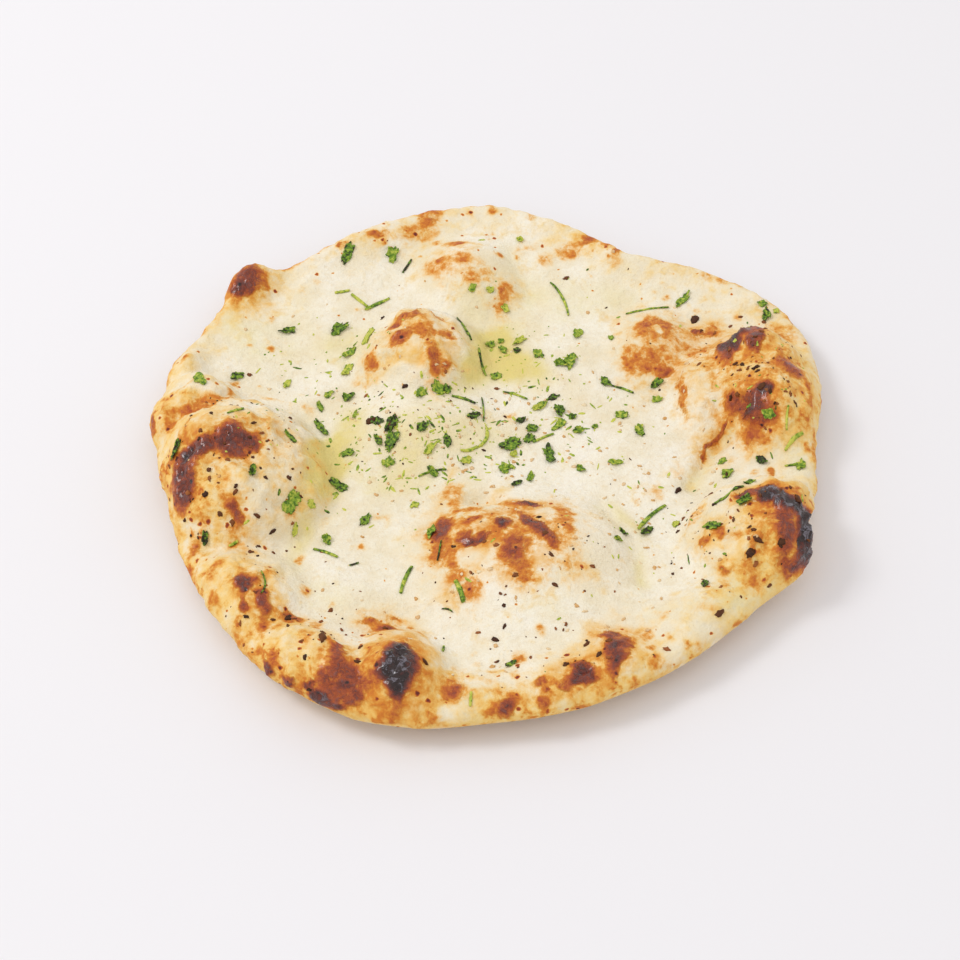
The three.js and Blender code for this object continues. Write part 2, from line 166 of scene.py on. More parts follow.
# Scorch marks: x, y, half length, half width, turn in degrees, and how dark: 0.4 is golden,
# 0.8 brown, 1.1 dark brown and 1.5 black.
# Besides the scorch marks, the left pillow holds thin lines of painted shade in the creases at its foot.
SCORCH_AND_CREASE_SHADE_MARKS = {
    "left pillow": [
        (-92, -4, 9, 8, 0, 1.18), (-105, -7, 7.5, 3.5, 21, 1.08), (-108, -22, 4.5, 12, 0, 1.15),
        (-108, -10, 5, 4.5, 0, 1.05), (-98, -30, 15, 22, 20, 0.38), (-78, 2, 12, 8, -25, 0.35),
        (-89, -40, 8.5, 3, -64, 0.95), (-95, -29, 5.5, 2, -64, 0.55),
        (-108, 12, 9.5, 4.5, 14, 0.75), (-115, 4, 3, 7, 0, 0.65), (-120, 8, 4.5, 9, 0, 0.7),
        (-72, -20, 15, 26, 0, 0.3), (-98, 17, 13, 3.5, 15, 0.6),
        (-122, 6, 1.5, 6, 0, 0.9), (-96, 21, 3, 2.5, 0, 0.6), (-101, -55, 3, 4.5, 0, 0.75),
        (-99, -42, 4, 4.5, 0, 0.45), (-84, -56, 4, 3.5, 0, 0.5), (-88, -54, 3, 2, 0, 0.65),
        (-93, -62, 5.5, 3, 33, 0.55), (-82, -70, 4, 5, 0, 1.1), (-82, -69, 6.5, 6.5, 0, 0.65),
        (-76, -79, 3, 6, 0, 1), (-83, -81, 1.5, 6, 0, 0.9), (-68, -84, 4.5, 2, 0, 0.75),
        (-100, -67, 2.5, 5.5, 0, 0.6), (-92, -75, 2.5, 5.5, -34, 0.6), (-61, -16, 2, 1.5, 0, 0.8),
        (-63, -10, 3, 2, 0, 0.4), (-69, -40, 3, 2.5, 0, 0.5), (-65, -60, 2, 2, 0, 0.6),
        (-67, 12, 5.5, 2, -47, 0.4), (-112, -45, 1.5, 3.5, 0, 0.5), (-76, -89, 3.5, 6, 0, 0.7),
        (-71, -99, 3.5, 3.5, 0, 0.6), (-72, -105, 2.5, 2.5, 0, 1.2), (-61, -105, 4, 3, 0, 0.5),
        # Thin lines along the pillow's foot: painted shade of its creases.
        (-81, 17, 10, 1, -20, 0.45), (-70, 7, 6, 1, -45, 0.4), (-62, -10, 1, 11, 8, 0.4),
        (-57, -33, 1, 14, 0, 0.35), (-96, 19, 12, 0.9, 5, 0.5), (-116, 21, 8, 0.9, 30, 0.6),
    ],
    "front rim": [
        (-30, -104, 6, 10.5, 0, 1.6), (-35, -90, 4.5, 3.5, 0, 1), (-40, -87, 5.5, 2, 0, 0.8),
        (-32, -86, 3.5, 1.5, 0, 0.8), (-27, -89, 4, 1.5, -30, 0.75), (-22, -92, 3.5, 1, -35, 0.6),
        (-37, -106, 2, 5, 0, 0.9), (-24, -111, 2, 5, 0, 0.7), (-30, -120, 2.5, 5.5, 0, 0.8),
        (-48, -102, 22, 12, -20, 0.37), (0, -115, 34, 9, 0, 0.3),
        (-49, -111, 10, 8, -10, 1.05), (-49, -100, 2.5, 5.5, 0, 0.95), (-40, -113, 4, 4, 0, 0.8),
        (-54, -118, 4.5, 2.5, -18, 1.25), (-49, -120, 2, 1.5, 0, 1.3), (-43, -117, 6.5, 3, 0, 0.85),
        (-64, -111, 3.5, 2, -29, 1.2), (-58, -113, 2, 1.5, 0, 1.2), (-67, -86, 4.5, 3.5, 0, 0.9),
        (-60, -92, 4.5, 5, 0, 0.45), (-57, -88, 3.5, 2.5, 0, 0.55), (-67, -102, 2.5, 5, 0, 0.5),
        (-12, -115, 5, 4, 0, 0.86), (-19, -125, 4, 2.5, 0, 0.7), (-19, -109, 2, 1.5, 0, 0.45),
        (-1, -111, 2.5, 1.5, 0, 0.45), (2, -117, 2.5, 4, 0, 0.5), (6, -121, 4, 3.5, 0, 1.1),
        (9, -108, 2.5, 3, 0, 0.5), (17, -111, 4, 3.5, 0, 0.9), (18, -118, 2.5, 2.5, 0, 0.8),
        (1, -107, 4.5, 1, 0, 0.5), (-42, -82, 4.5, 2, 0, 0.45), (-53, -79, 1.5, 1.5, 0, 0.55),
        (-45, -54, 1.5, 2, 0, 0.6), (42, -97, 4.5, 8, -25, 1.15), (39, -92, 3.5, 3.5, 0, 1.05),
        (41, -105, 2.5, 4, 0, 0.8), (30, -107, 5, 5, 0, 1.2), (25, -111, 3, 3, 0, 0.85),
        (31, -114, 6.5, 3, 0, 0.5), (52, -92, 3, 3, 0, 0.6), (60, -92, 1.5, 3.5, 0, 0.45),
        (55, -104, 3.5, 3.5, 0, 0.6), (47, -109, 2, 2, 0, 0.55), (69, -99, 6, 2.5, 34, 0.5),
        (65, -97, 1.5, 2.5, 0, 0.7),
    ],
    "front right pillow": [
        (90, -56, 18, 18, 0, 0.4), (104, -50, 8, 20, 0, 0.45),
        (93, -29, 5, 2.5, 7, 1.1), (100, -30, 5, 4, -7, 1.45), (106, -33, 4.5, 4, -40, 1.5),
        (110, -42, 3.5, 7, 0, 1.5), (109, -53, 3.5, 8, 0, 1.45), (105, -61, 2.5, 3.5, 0, 1.1),
        (99, -40, 5, 5.5, 0, 0.75), (102, -53, 3.5, 7.5, 0, 0.75), (102, -63, 2.5, 6, 0, 0.75),
        (104, -45, 4.5, 9, -12, 1.0),
        (72, -41, 5.5, 2.5, 41, 0.6), (79, -46, 4, 5.5, 0, 0.75), (73, -53, 6, 2.5, 19, 0.8),
        (79, -63, 5, 2.5, 0, 0.8), (89, -49, 4, 2.5, -20, 0.65), (93, -51, 3.5, 3.5, 0, 0.6),
        (90, -57, 4, 3.5, 0, 0.75), (88, -63, 5, 3.5, 0, 0.6), (80, -70, 4, 3.5, 0, 0.5),
        (89, -70, 3.5, 5.5, 0, 0.5), (91, -82, 4.5, 2.5, 39, 0.55), (74, -80, 7, 4, 24, 0.4),
    ],
    "right pillow": [
        (98, 32, 17, 24, 0, 0.42), (84, 32, 8, 20, 0, 0.42), (96, 8, 15, 12, 0, 0.45),
        (100, 33, 14, 8, -15, 0.58), (115, 40, 7, 12, 10, 0.5), (81, 30, 5, 9, 0, 0.5),
        (92, 46, 5, 8.5, 0, 1.25), (98, 54, 7.5, 5, 0, 1.15), (102, 50, 4, 5.5, 0, 1.1),
        (85, 53, 5.5, 3.5, 21, 0.8), (112, 52, 8.5, 6.5, -29, 0.6), (114, 34, 8, 4, -48, 0.95),
        (118, 22, 2, 8.5, 0, 0.7), (80, 42, 6, 7.5, 0, 0.6), (73, 20, 2, 12.5, 0, 0.8),
        (86, 29, 7.5, 5.5, 0, 0.45), (97, 16, 10.5, 6.5, 14, 1.0), (103, 24, 4.5, 4.5, 0, 1.15),
        (98, 10, 9, 5.5, 0, 0.95), (97, -2, 8, 4, 0, 0.75), (90, 16, 3.5, 5, 0, 0.85),
        (85, 2, 1, 7.5, -34, 0.9), (80, -7, 1.5, 4.5, -34, 1), (77, -13, 1, 3, -40, 0.9),
        (112, 13, 5, 8.5, 0, 0.45), (115, 4, 3.5, 8, 0, 0.5), (118, -6, 1, 15, 0, 0.6),
        (116, -8, 2, 2.5, 0, 0.7), (101, -19, 2, 2, 0, 0.8), (68, -19, 3.5, 4, 0, 0.4),
        (59, -28, 3.5, 5.5, 0, 0.4), (54, -33, 2, 2, 0, 0.5),
    ],
    "right swelling": [
        (64, 46, 13, 16, 0, 0.45), (65, 57, 9, 7.5, 0, 0.86), (60, 37, 9.5, 7, 14, 0.73),
        (67, 32, 4.5, 3, 38, 0.82), (64, 44, 5, 3, 0, 0.6),
        (53, 42, 2, 5.5, 0, 0.6), (74, 49, 4, 5.5, 0, 0.55), (80, 54, 2.5, 2, 0, 1),
        (71, 94, 4, 3, 0, 0.4),
    ],
    "wide front bubble": [
        (-12, -50, 9, 17, -8, 0.42), (16, -52, 20, 15, -30, 0.42), (-16, -45, 5, 7, 0, 0.85),
        (-12, -30, 3, 6, -10, 0.6), (-6, -41, 8, 2.5, 0, 0.7), (5, -35, 4, 4, 0, 0.55),
        (-11, -36, 3.7, 7.5, 0, 0.5), (-1, -40, 5, 3.7, 0, 0.5), (3, -44, 2.5, 3, 0, 1.05),
        (-3, -51, 7, 2, 0, 1.05), (13, -34, 4.5, 1.6, 0, 1.2), (-9, -47, 3, 2, -30, 0.9),
        (-11, -60, 3.5, 8, 0, 0.6), (-6, -73, 3.5, 8, 0, 0.5),
        (-6, -37, 8, 3, -20, 0.65), (-14, -30, 2, 5.5, -13, 0.5), (-17, -47, 4, 6.5, 0, 0.85),
        (-6, -50, 9, 2.4, -7, 1.1), (5, -44, 3.5, 4, 0, 1.05), (17, -45, 13, 3.4, -58, 1.12),
        (14, -35, 5.5, 2, 13, 1.1), (26, -40, 5.5, 9.5, 0, 0.7), (28, -47, 3, 4.5, 0, 0.65),
        (9, -54, 6, 8.5, 0, 0.95), (13, -63, 5.5, 5.5, 0, 0.75), (-16, -56, 5, 8, 0, 0.75),
        (-10, -65, 5, 5.5, 0, 0.65), (-8, -72, 4.5, 5, 0, 0.6),
    ],
    "tall bubble": [
        (-28, 55, 16, 11, 0, 0.4), (-20, 40, 8, 13, 0, 0.4), (-22, 55, 12, 6, 8, 0.62),
        (-37, 57, 5, 2, 52, 0.85), (-30, 63, 7, 2.5, 7, 0.85), (-19, 62, 6, 2, -34, 0.8),
        (-33, 51, 3, 7.5, -27, 0.8), (-24, 53, 8, 3.5, 14, 0.6), (-15, 52, 4.5, 3.5, 0, 0.8),
        (-22, 43, 4, 5, 0, 0.75), (-19, 35, 5, 6.5, 0, 0.85), (-44, 35, 3.5, 4.5, 0, 0.75),
        (-47, 25, 3.5, 3, 0, 0.45), (10, 7, 3.5, 2, 0, 0.5), (-38, -40, 3.5, 2, 0, 0.45),
    ],
    "back bubble and rim": [
        (-13, 105, 6.5, 2.5, 0, 0.7), (-10, 98, 4, 5, 0, 0.7), (-20, 91, 6.5, 7, 0, 0.5),
        (-10, 90, 15, 13, 0, 0.36), (-6, 84, 5, 3.5, 20, 0.62), (-17, 96, 5, 2.5, 10, 0.62),
        (-3, 89, 5, 4.5, -22, 0.5), (6, 73, 3, 8, -22, 0.74), (2, 70, 3, 4.5, 0, 0.5),
        (-44, 111, 6.5, 3, 18, 0.75), (-28, 112, 9.5, 5.5, 23, 0.6), (-23, 123, 5.5, 4.5, 30, 0.7),
        (-8, 123, 3.5, 3, 0, 0.5), (9, 128, 5, 2, 0, 0.75), (26, 120, 5, 2.5, -23, 0.45),
        (2, 109, 1.5, 5, 0, 0.4), (16, 101, 6.5, 3.5, 0, 0.4), (33, 101, 7, 5.5, 22, 0.6),
        (40, 107, 4, 3.5, 0, 0.8), (42, 111, 2.5, 2, -30, 1.1), (47, 105, 4, 2.5, -30, 0.7),
        (51, 97, 3, 5, 0, 0.5), (52, 101, 2, 2, 0, 0.9), (-59, 104, 5, 2, 30, 0.5),
        (-95, 83, 9, 7, 36, 1.08), (-99, 77, 4, 3.5, 30, 1), (-105, 61, 2.5, 4.5, 0, 0.35),
        (35, -14, 3.5, 2, 0, 0.3),
    ],
}
# Islands in the scorch marks that stayed pale: x, y, half length, half width and turn.
PALE_ISLANDS = [
    (20, -38, 3, 3, 0), (18, -58, 2, 4, -26), (3, -51, 3, 2, 0), (-6, -58, 3, 3.5, 0),
    (65, 56, 2, 2, 0), (-29, 33, 4.5, 4.5, 0), (-19, 57, 3, 2, 0), (-15, 44, 2.5, 3.5, 0),
    (-29, 46, 2, 4.5, 0), (1, -30, 5, 3, 0), (79, 25, 3, 5.5, 0), (-120, 7, 2, 4, 0),
    (97, 30, 4.5, 3, 0), (83, -40, 3.5, 2.5, 0), (86, -55, 3, 2, 13), (77, -56, 2, 2, 0),
]
# Pools and streaks of melted butter, some of them painted shade in the butter tint, in hollows and on sides
# turned from the light: x, y, half lengths, turn and strength.
BUTTER_AND_SHADE_POOLS = [
    (-58, -14, 7, 22, -14, 0.95), (-48, 2, 9, 14, 0, 0.55), (-54, 43, 14.5, 14.5, 0, 0.45),
    (-93, 52, 12.5, 26, 29, 0.4),
    (5, 37, 20, 10.5, -28, 0.9), (-6, 1, 20, 14.5, 0, 0.4), (28, 71, 19.5, 15, 0, 0.35),
    (-30, -4, 14.5, 17, 0, 0.45), (49, 71, 16.5, 10.5, 0, 0.3), (19, -77, 20, 7.5, 0, 0.25),
    (47, -42, 11.5, 2.5, -50, 0.45), (52, -67, 2.5, 15, 0, 0.35), (-3, 71, 14, 15, 0, 0.35),
    (-33, -23, 21.5, 7.5, 0, 0.4), (-65, -46, 5, 18.5, 0, 0.5), (-53, -77, 13.5, 8.5, 0, 0.3),
    (1, 49, 8, 11, -51, 0.9), (-4, 34, 7, 12, -30, 0.9), (87, -73, 15.5, 12, 35, 0.5),
    (36, -118, 30, 6, 18, 0.35), (112, 17, 7.5, 32.5, 0, 0.35), (-9, -118, 22.5, 7, 0, 0.3),
]

# Tones of the coriander.
DARK, GREEN, LIME, DRIED = 0.27, 0.5, 0.85, 0.05
# Leaf pieces: x, y, length, width, turn in degrees and tone. The first stand in the solid too.
LEAVES = [
    (-56, 99, 10.5, 6.5, 75, DARK), (8, -6, 10, 6.5, 24, DARK), (-69, -34, 10.5, 5.5, 57, GREEN),
    (-57, 55, 9.5, 5.5, 41, DARK), (-35, -4, 9.5, 5.5, 72, DARK), (-46, 51, 9.5, 5, 67, LIME),
    (-108, 28, 9.5, 5, -69, GREEN), (-38, 98, 9, 5, 82, GREEN), (22, -11, 10, 4.5, -79, DARK),
    (-53, -26, 8, 5.5, -41, DARK), (31, 37, 9.5, 4.5, 81, GREEN), (76, 71, 10.5, 3.5, 55, GREEN),
    (-18, 22, 7, 5, -44, GREEN), (26, 4, 8, 4, 51, GREEN), (-61, 2, 10.5, 3, -60, DARK),
    (15, -3, 6, 5, 53, DARK), (49, 9, 6.5, 4.5, -9, GREEN), (-53, 32, 7, 4, 67, LIME),
    (-43, -42, 7, 4, 54, DARK), (-41, 6, 6, 4.5, -47, DRIED), (85, -20, 6, 4.5, 48, GREEN),
    (63, 25, 7.5, 3.5, 52, DARK), (-24, 3, 6.5, 4, 50, DARK), (-94, 29, 6.5, 4, 39, DARK),
    (112, -16, 6.5, 4, 64, GREEN), (-36, -15, 5, 5, 35, GREEN), (-52, 18, 5.5, 4.5, 27, DARK),
    (108, 63, 7, 3.5, 75, DARK), (90, -33, 7, 3.5, 34, DARK), (19, 41, 6, 4, -53, GREEN),
    (3, 29, 6, 4, 33, GREEN), (-36, 3, 6, 4, 58, DRIED), (12, 48, 7.5, 3, 37, LIME),
    (19, 13, 7.5, 3, 38, LIME), (44, 26, 5.5, 4, -53, DARK), (-21, -8, 8, 2.6, 52, LIME),
    (16, 2, 5, 4, 30, DARK), (-20, -47, 7.5, 2.6, 78, GREEN), (33, 1, 5.5, 3.5, 40, GREEN),
    (24, 18, 6, 3, 25, DRIED), (-56, -51, 6, 3, -74, GREEN), (-113, -9, 9, 2, 70, DRIED),
    (98, -14, 6, 3, -40, DRIED), (-25, 20, 5, 3.5, 55, GREEN), (-8, -14, 5, 3.5, 23, LIME),
    (107, 69, 5, 3.5, -52, GREEN), (-75, 25, 6.5, 2.6, 74, LIME), (15, -22, 6, 2.8, 82, GREEN),
    (103, 9, 6, 2.8, -20, GREEN), (1, 46, 4.5, 3.5, 55, GREEN), (-40, -4, 6, 2.5, -63, DARK),
    (84, -14, 4.5, 3.2, 43, GREEN), (7, 66, 4.5, 3, -48, LIME), (-15, 22, 4.5, 3, 76, DARK),
    (-26, -35, 4.5, 3, 44, LIME), (-72, -2, 7.5, 1.8, -51, DARK), (-62, 13, 6.5, 2, -73, GREEN),
    (-84, -19, 5, 2.5, 74, DARK), (-6, 78, 4, 3, 56, GREEN), (33, -18, 4, 3, -35, GREEN),
    (55, 2, 5, 2.4, 62, LIME), (12, 6, 4.5, 2.5, 27, DRIED), (65, -44, 4.5, 2.5, 57, LIME),
    (10, -25, 5.5, 2, 21, DRIED), (7, -104, 4.5, 2.4, 44, DARK), (1, 77, 3.5, 3, 40, LIME),
    (11, 43, 3.5, 3, 50, DRIED), (-62, -35, 3.5, 3, 51, LIME), (-98, -51, 4.5, 2.2, 87, DRIED),
    (8, -17, 4.5, 2, -19, GREEN), (31, 8, 3.5, 2.5, 48, DARK), (9, -11, 3.5, 2.5, 27, LIME),
    (47, 50, 4, 2, -71, GREEN), (-67, -47, 5.5, 1.4, 73, LIME), (5, 48, 3, 2.5, 32, GREEN),
    (112, 65, 3, 2.5, 34, LIME), (13, 107, 3.5, 2, -41, LIME), (-49, 9, 4, 1.6, 82, GREEN),
    (39, 3, 3, 2, 47, GREEN), (47, -48, 4, 1.4, -34, DARK), (45, -51, 3.5, 1.5, 14, GREEN),
]
# Cut stems and shreds: x, y, length, width, turn in degrees, bend and tone.
STEMS = [
    (57, -41, 15.5, 2, 48, 0.12, GREEN), (-43, 69, 11.5, 2.2, 36, 0, GREEN),
    (28, 72, 18.5, 1.4, -69, 0.15, GREEN), (-28, -69, 11.5, 2, 72, 0.1, GREEN),
    (-10, -74, 9, 2.4, -72, 0.1, GREEN), (-9, 56, 11.5, 1.8, -62, 0, DARK),
    (85, -30, 11.5, 1.8, 27, 0.1, DARK), (62, 66, 17, 1.2, 8, 0, GREEN),
    (-9, 17, 9, 2, -10, 0.1, DARK), (-2, -2, 10, 1.8, 75, -0.3, LIME),
    (-56, -57, 9.5, 1.8, -25, 0.1, GREEN), (-50, 71, 8.5, 2, -42, 0, LIME),
    (111, -4, 9, 1.8, 41, 0.1, LIME), (-2, 37, 11.5, 1.4, -77, -0.1, DARK),
    (-20, -20, 10.5, 1.2, 16, 0.15, DARK), (10, 19, 10, 1.2, -24, 0.1, GREEN),
    (20, -3, 8.5, 1.5, 27, 0.1, GREEN), (-7, -8, 6.5, 1.8, 22, -0.2, LIME),
    (-2, 12, 12.5, 0.9, -87, 0.05, DARK), (-57, 76, 6, 1.8, 17, 0, LIME),
    (50, 22, 9, 1.2, -25, 0.1, DARK), (-32, 91, 7.5, 1.4, 63, 0, DRIED),
    (-77, -70, 10, 0.9, -85, 0.25, DARK), (109, -16, 5.5, 1.6, 5, 0, GREEN),
    (-17, -56, 8.5, 0.9, 82, 0, DRIED), (-93, 11, 6.5, 1.3, 33, 0.1, GREEN),
    (110, 8, 7, 1.2, 84, 0.1, LIME), (-6, -118, 4.5, 1.4, 86, 0, LIME),
    (-88, -53, 3.5, 1.4, 29, 0, LIME), (-15, -98, 4, 1.2, 86, 0, GREEN),
    (-46, -62, 3.5, 1, 24, 0, DRIED), (-14, -82, 4, 0.8, -25, 0.3, DRIED),
]

# Where more leaf pieces are strewn, by place: x, y, half lengths and the number of pieces.
STREWN = [
    (-22, -2, 34, 20, 6), (-62, 46, 26, 22, 3), (18, 40, 30, 24, 4), (44, 6, 34, 22, 4), (70, -52, 34, 24, 4),
]
STREWN_LENGTH = (5, 7.5)
STREWN_SLIMNESS = (0.4, 0.7)
STREWN_SEED = 71
LEAF_SEED, BITS_SEED, CRUMB_SEED, GARLIC_SEED = 11, 23, 37, 53
# A little over a whole turn, in radians, for drawn angles.
SPIN = (0, 6.3)

# Large burnt crumbs: x, y and half length.
LARGE_CRUMBS = [
    (80, 60, 2.1), (102, 24, 2.0), (101, 34, 1.4), (90, 18, 1.2), (67, -28, 1.7), (85, -21, 1.5),
    (90, -57, 1.7), (93, -51, 1.9), (101, -52, 1.5), (109, -32, 1.8), (77, -83, 1.8), (-100, -30, 1.2),
    (-94, -39, 1.1), (-75, -47, 1.4), (-71, -22, 1.0), (-81, -40, 1.3), (-106, -42, 1.0), (-55, -93, 1.9),
    (-43, -103, 1.4), (-21, -103, 1.3), (-67, -85, 1.6), (-86, 5, 1.2), (-12, -54, 1.0), (32, -96, 1.3),
    (36, -100, 1.3), (25, -104, 1.1), (2, -94, 1.4), (31, 84, 1.2), (-43, 6, 1.9), (-36, 4, 1.6),
    (-31, 24, 1.2), (82, 54, 1.0), (-58, -114, 1.2),
]

# Where fine pieces lie: x, y, half lengths and how many of a hundred fall there.
GREEN_PATCHES = [
    (-22, 2, 40, 26, 40), (20, 8, 44, 26, 18), (-62, 40, 26, 30, 10), (14, 44, 34, 20, 8),
    (70, -44, 40, 30, 6), (-75, -20, 30, 34, 5), (100, 20, 18, 40, 5), (0, 0, 112, 112, 8),
]
SEED_PATCHES = [
    (-88, -24, 28, 40, 20), (-62, -88, 32, 22, 11), (98, 28, 20, 36, 20), (86, -52, 26, 28, 15),
    (8, -66, 34, 34, 12), (30, -108, 50, 12, 6), (-24, 8, 34, 24, 6), (0, 0, 114, 114, 10),
]
GARLIC_PATCHES = [
    (-20, 4, 50, 34, 30), (40, -4, 50, 40, 22), (60, -50, 36, 36, 16), (0, -80, 60, 30, 12),
    (0, 0, 112, 112, 20),
]


class NaanBreadSettings(bpy.types.PropertyGroup):
    """The bread's mesh and the colours of its crust."""

    cuts: IntProperty(
        name="Cuts", description="Cuts along each edge of the block shaped into the bread", default=126, min=8
    )
    top_share: FloatProperty(
        name="Top share", description="Share of the faces in the upper face", default=0.76, min=0.3, max=0.9
    )
    crowding: FloatProperty(
        name="Crowding", description="How strongly faces are drawn towards the edge", default=1.4, min=1
    )
    dough: FloatVectorProperty(
        name="Dough", description="Pale baked dough", subtype="COLOR", default=(0.85, 0.775, 0.64)
    )
    flour: FloatVectorProperty(
        name="Flour", description="The palest, dry dough", subtype="COLOR", default=(0.935, 0.91, 0.87)
    )
    # The butter colour also paints shade in hollows, folds and on sides turned from the light.
    butter: FloatVectorProperty(
        name="Butter", description="Dough soaked with butter", subtype="COLOR", default=(0.74, 0.61, 0.16)
    )
    gold: FloatVectorProperty(
        name="Gold", description="Lightly toasted dough", subtype="COLOR", default=(0.88, 0.60, 0.165)
    )
    char: FloatVectorProperty(
        name="Char", description="Burnt dough", subtype="COLOR", default=(0.030, 0.013, 0.012)
    )


class NaanToppingSettings(bpy.types.PropertyGroup):
    """The sizes, numbers and colours of what is strewn on the bread."""

    leaf_thickness: FloatProperty(
        name="Leaf thickness", description="Thickness of a coriander leaf", default=0.35 * MM, unit="LENGTH"
    )
    green_bits: IntProperty(
        name="Green bits", description="Number of finely chopped coriander bits", default=520, min=0
    )
    seeds: IntProperty(
        name="Dark seeds", description="Number of dark seeds and burnt crumbs", default=420, min=0
    )
    garlic: IntProperty(
        name="Garlic", description="Number of bits of garlic", default=280, min=0
    )
    leaf_dark: FloatVectorProperty(
        name="Dark leaf", description="Darkest coriander", subtype="COLOR", default=(0.078, 0.175, 0.014)
    )
    leaf_green: FloatVectorProperty(
        name="Green leaf", description="Ordinary coriander", subtype="COLOR", default=(0.22, 0.34, 0.026)
    )
    leaf_lime: FloatVectorProperty(
        name="Lime leaf", description="Palest coriander", subtype="COLOR", default=(0.57, 0.58, 0.09)
    )


class NaanStageSettings(bpy.types.PropertyGroup):
    """Floor, lights and camera."""

    floor: FloatVectorProperty(
        name="Floor", description="Colour of the floor", subtype="COLOR", default=(0.83, 0.82, 0.85)
    )
    key_power: FloatProperty(
        name="Key power", description="Power of the large soft light", default=12.0, unit="POWER"
    )
    sky: FloatProperty(
        name="Sky", description="Strength of the even light from all round", default=0.885, min=0
    )
    lens: FloatProperty(
        name="Lens", description="Focal length of the camera in millimetres", default=68.5, min=1
    )
    look_down: FloatProperty(
        name="Look down",
        description="How far the camera looks down",
        default=math.radians(48),
        subtype="ANGLE",
        unit="ROTATION",
    )


class Socket:
    """A shader socket that Python arithmetic turns into Math nodes."""

    def __init__(self, shader, socket):
        self.shader = shader
        self.socket = socket

    def math(self, operation, *others):
        values = [self, *others]
        return self.shader.node("ShaderNodeMath", {"operation": operation}, dict(enumerate(values)))

    def __add__(self, other):
        return self.math("ADD", other)

    def __sub__(self, other):
        return self.math("SUBTRACT", other)

    def __mul__(self, other):
        return self.math("MULTIPLY", other)

    def __truediv__(self, other):
        return self.math("DIVIDE", other)

    def __pow__(self, other):
        return self.math("POWER", other)

    def __rsub__(self, other):
        return self.shader.node("ShaderNodeMath", {"operation": "SUBTRACT"}, {0: other, 1: self})

    __radd__ = __add__
    __rmul__ = __mul__

    def least(self, other):
        return self.math("MINIMUM", other)

    def most(self, other):
        return self.math("MAXIMUM", other)

    def ramp(self, low, high):
        """0 below low and 1 above high, with a smooth rise between them."""
        settings = {"interpolation_type": "SMOOTHSTEP"}
        return self.shader.node("ShaderNodeMapRange", settings, {0: self, 1: low, 2: high, 3: 0.0, 4: 1.0})


class Shader:
    """A material's node tree, with its Principled BSDF ready to take values."""

    def __init__(self, name, constants):
        self.material = bpy.data.materials.new(name)
        self.material.use_nodes = True
        self.tree = self.material.node_tree
        self.bsdf = self.tree.nodes["Principled BSDF"]
        for socket, value in constants.items():
            self.bsdf.inputs[socket].default_value = value

    def node(self, kind, settings=None, inputs=None, output=0):
        """Adds a node, with its settings first, then the values or links of its sockets."""
        made = self.tree.nodes.new(kind)
        for key, value in (settings or {}).items():
            if key == "stops":
                self.set_stops(made.color_ramp, value)
            else:
                setattr(made, key, value)
        for key, value in (inputs or {}).items():
            if isinstance(value, Socket):
                self.tree.links.new(value.socket, made.inputs[key])
            else:
                made.inputs[key].default_value = value
        return Socket(self, made.outputs[output])

    @staticmethod
    def set_stops(ramp, stops):
        while len(ramp.elements) < len(stops):
            ramp.elements.new(1.0)
        for element, (position, colour) in zip(ramp.elements, stops):
            element.position = position
            element.color = (*colour, 1.0)

    def feed(self, socket, value):
        self.tree.links.new(value.socket, self.bsdf.inputs[socket])

    def place(self):
        return self.node("ShaderNodeTexCoord", output="Object")

    def noise(self, size, detail=3.0, roughness=0.55, distortion=0.0):
        """Noise with lumps of about the given size in millimetres, around 0.5."""
        inputs = {
            "Vector": self.place(),
            "Scale": 1.0 / (size * MM),
            "Detail": detail,
            "Roughness": roughness,
            "Distortion": distortion,
        }
        return self.node("ShaderNodeTexNoise", None, inputs, "Fac")

    def swayed(self, sway, size):
        """The place, moved about by up to about the given sway, in waves of the given size."""
        waves = {"Vector": self.place(), "Scale": 1.0 / (size * MM), "Detail": 2.0}
        shift = self.node("ShaderNodeTexNoise", None, waves, "Color")
        shift = self.node("ShaderNodeVectorMath", {"operation": "SUBTRACT"}, {0: shift, 1: (0.5, 0.5, 0.5)})
        shift = self.node("ShaderNodeVectorMath", {"operation": "SCALE"}, {0: shift, "Scale": 3 * sway * MM})
        return self.node("ShaderNodeVectorMath", {"operation": "ADD"}, {0: self.place(), 1: shift})

    def attribute(self, name):
        return self.node("ShaderNodeAttribute", {"attribute_name": name}, output="Fac")

    def mix(self, share, first, second):
        """First where share is 0 and second where it is 1, as colours."""
        settings = {"data_type": "RGBA", "clamp_factor": True}
        ends = {6: first, 7: second}
        colours = {key: (*end, 1.0) if isinstance(end, (tuple, list)) else end for key, end in ends.items()}
        return self.node("ShaderNodeMix", settings, {0: share, **colours}, 2)

    def bump(self, height, strength=1.0):
        """Relief whose height is given in millimetres."""
        return self.node("ShaderNodeBump", None, {"Strength": strength, "Distance": MM, "Height": height})


def smooth_step(t):
    s = np.clip(t, 0.0, 1.0)
    return s * s * (3.0 - 2.0 * s)


def smooth_max(a, b, width):
    """The larger of two heights, with the seam between them filled over the given width."""
    h = np.maximum(width - np.abs(a - b), 0.0) / width
    return np.maximum(a, b) + h * h * width * 0.25


def around(values, angle):
    """A closed smooth curve through values at equal steps of angle."""
    knots = np.array(values, float)
    place = (angle / (2 * np.pi)) % 1.0 * len(knots)
    first = np.floor(place).astype(int)
    t = place - first
    a, b, c, d = (knots[(first + step) % len(knots)] for step in (-1, 0, 1, 2))
    return b + 0.5 * t * (c - a + t * (2 * a - 5 * b + 4 * c - d + t * (3 * (b - c) + d - a)))


def edge_radius(angle):
    radius = around(EDGE_RADII, angle)
    for at, out, wide in EDGE_KNOBS:
        apart = np.angle(np.exp(1j * (angle - math.radians(at))))
        radius = radius + out * np.exp(-((apart / math.radians(wide)) ** 2))
    return radius


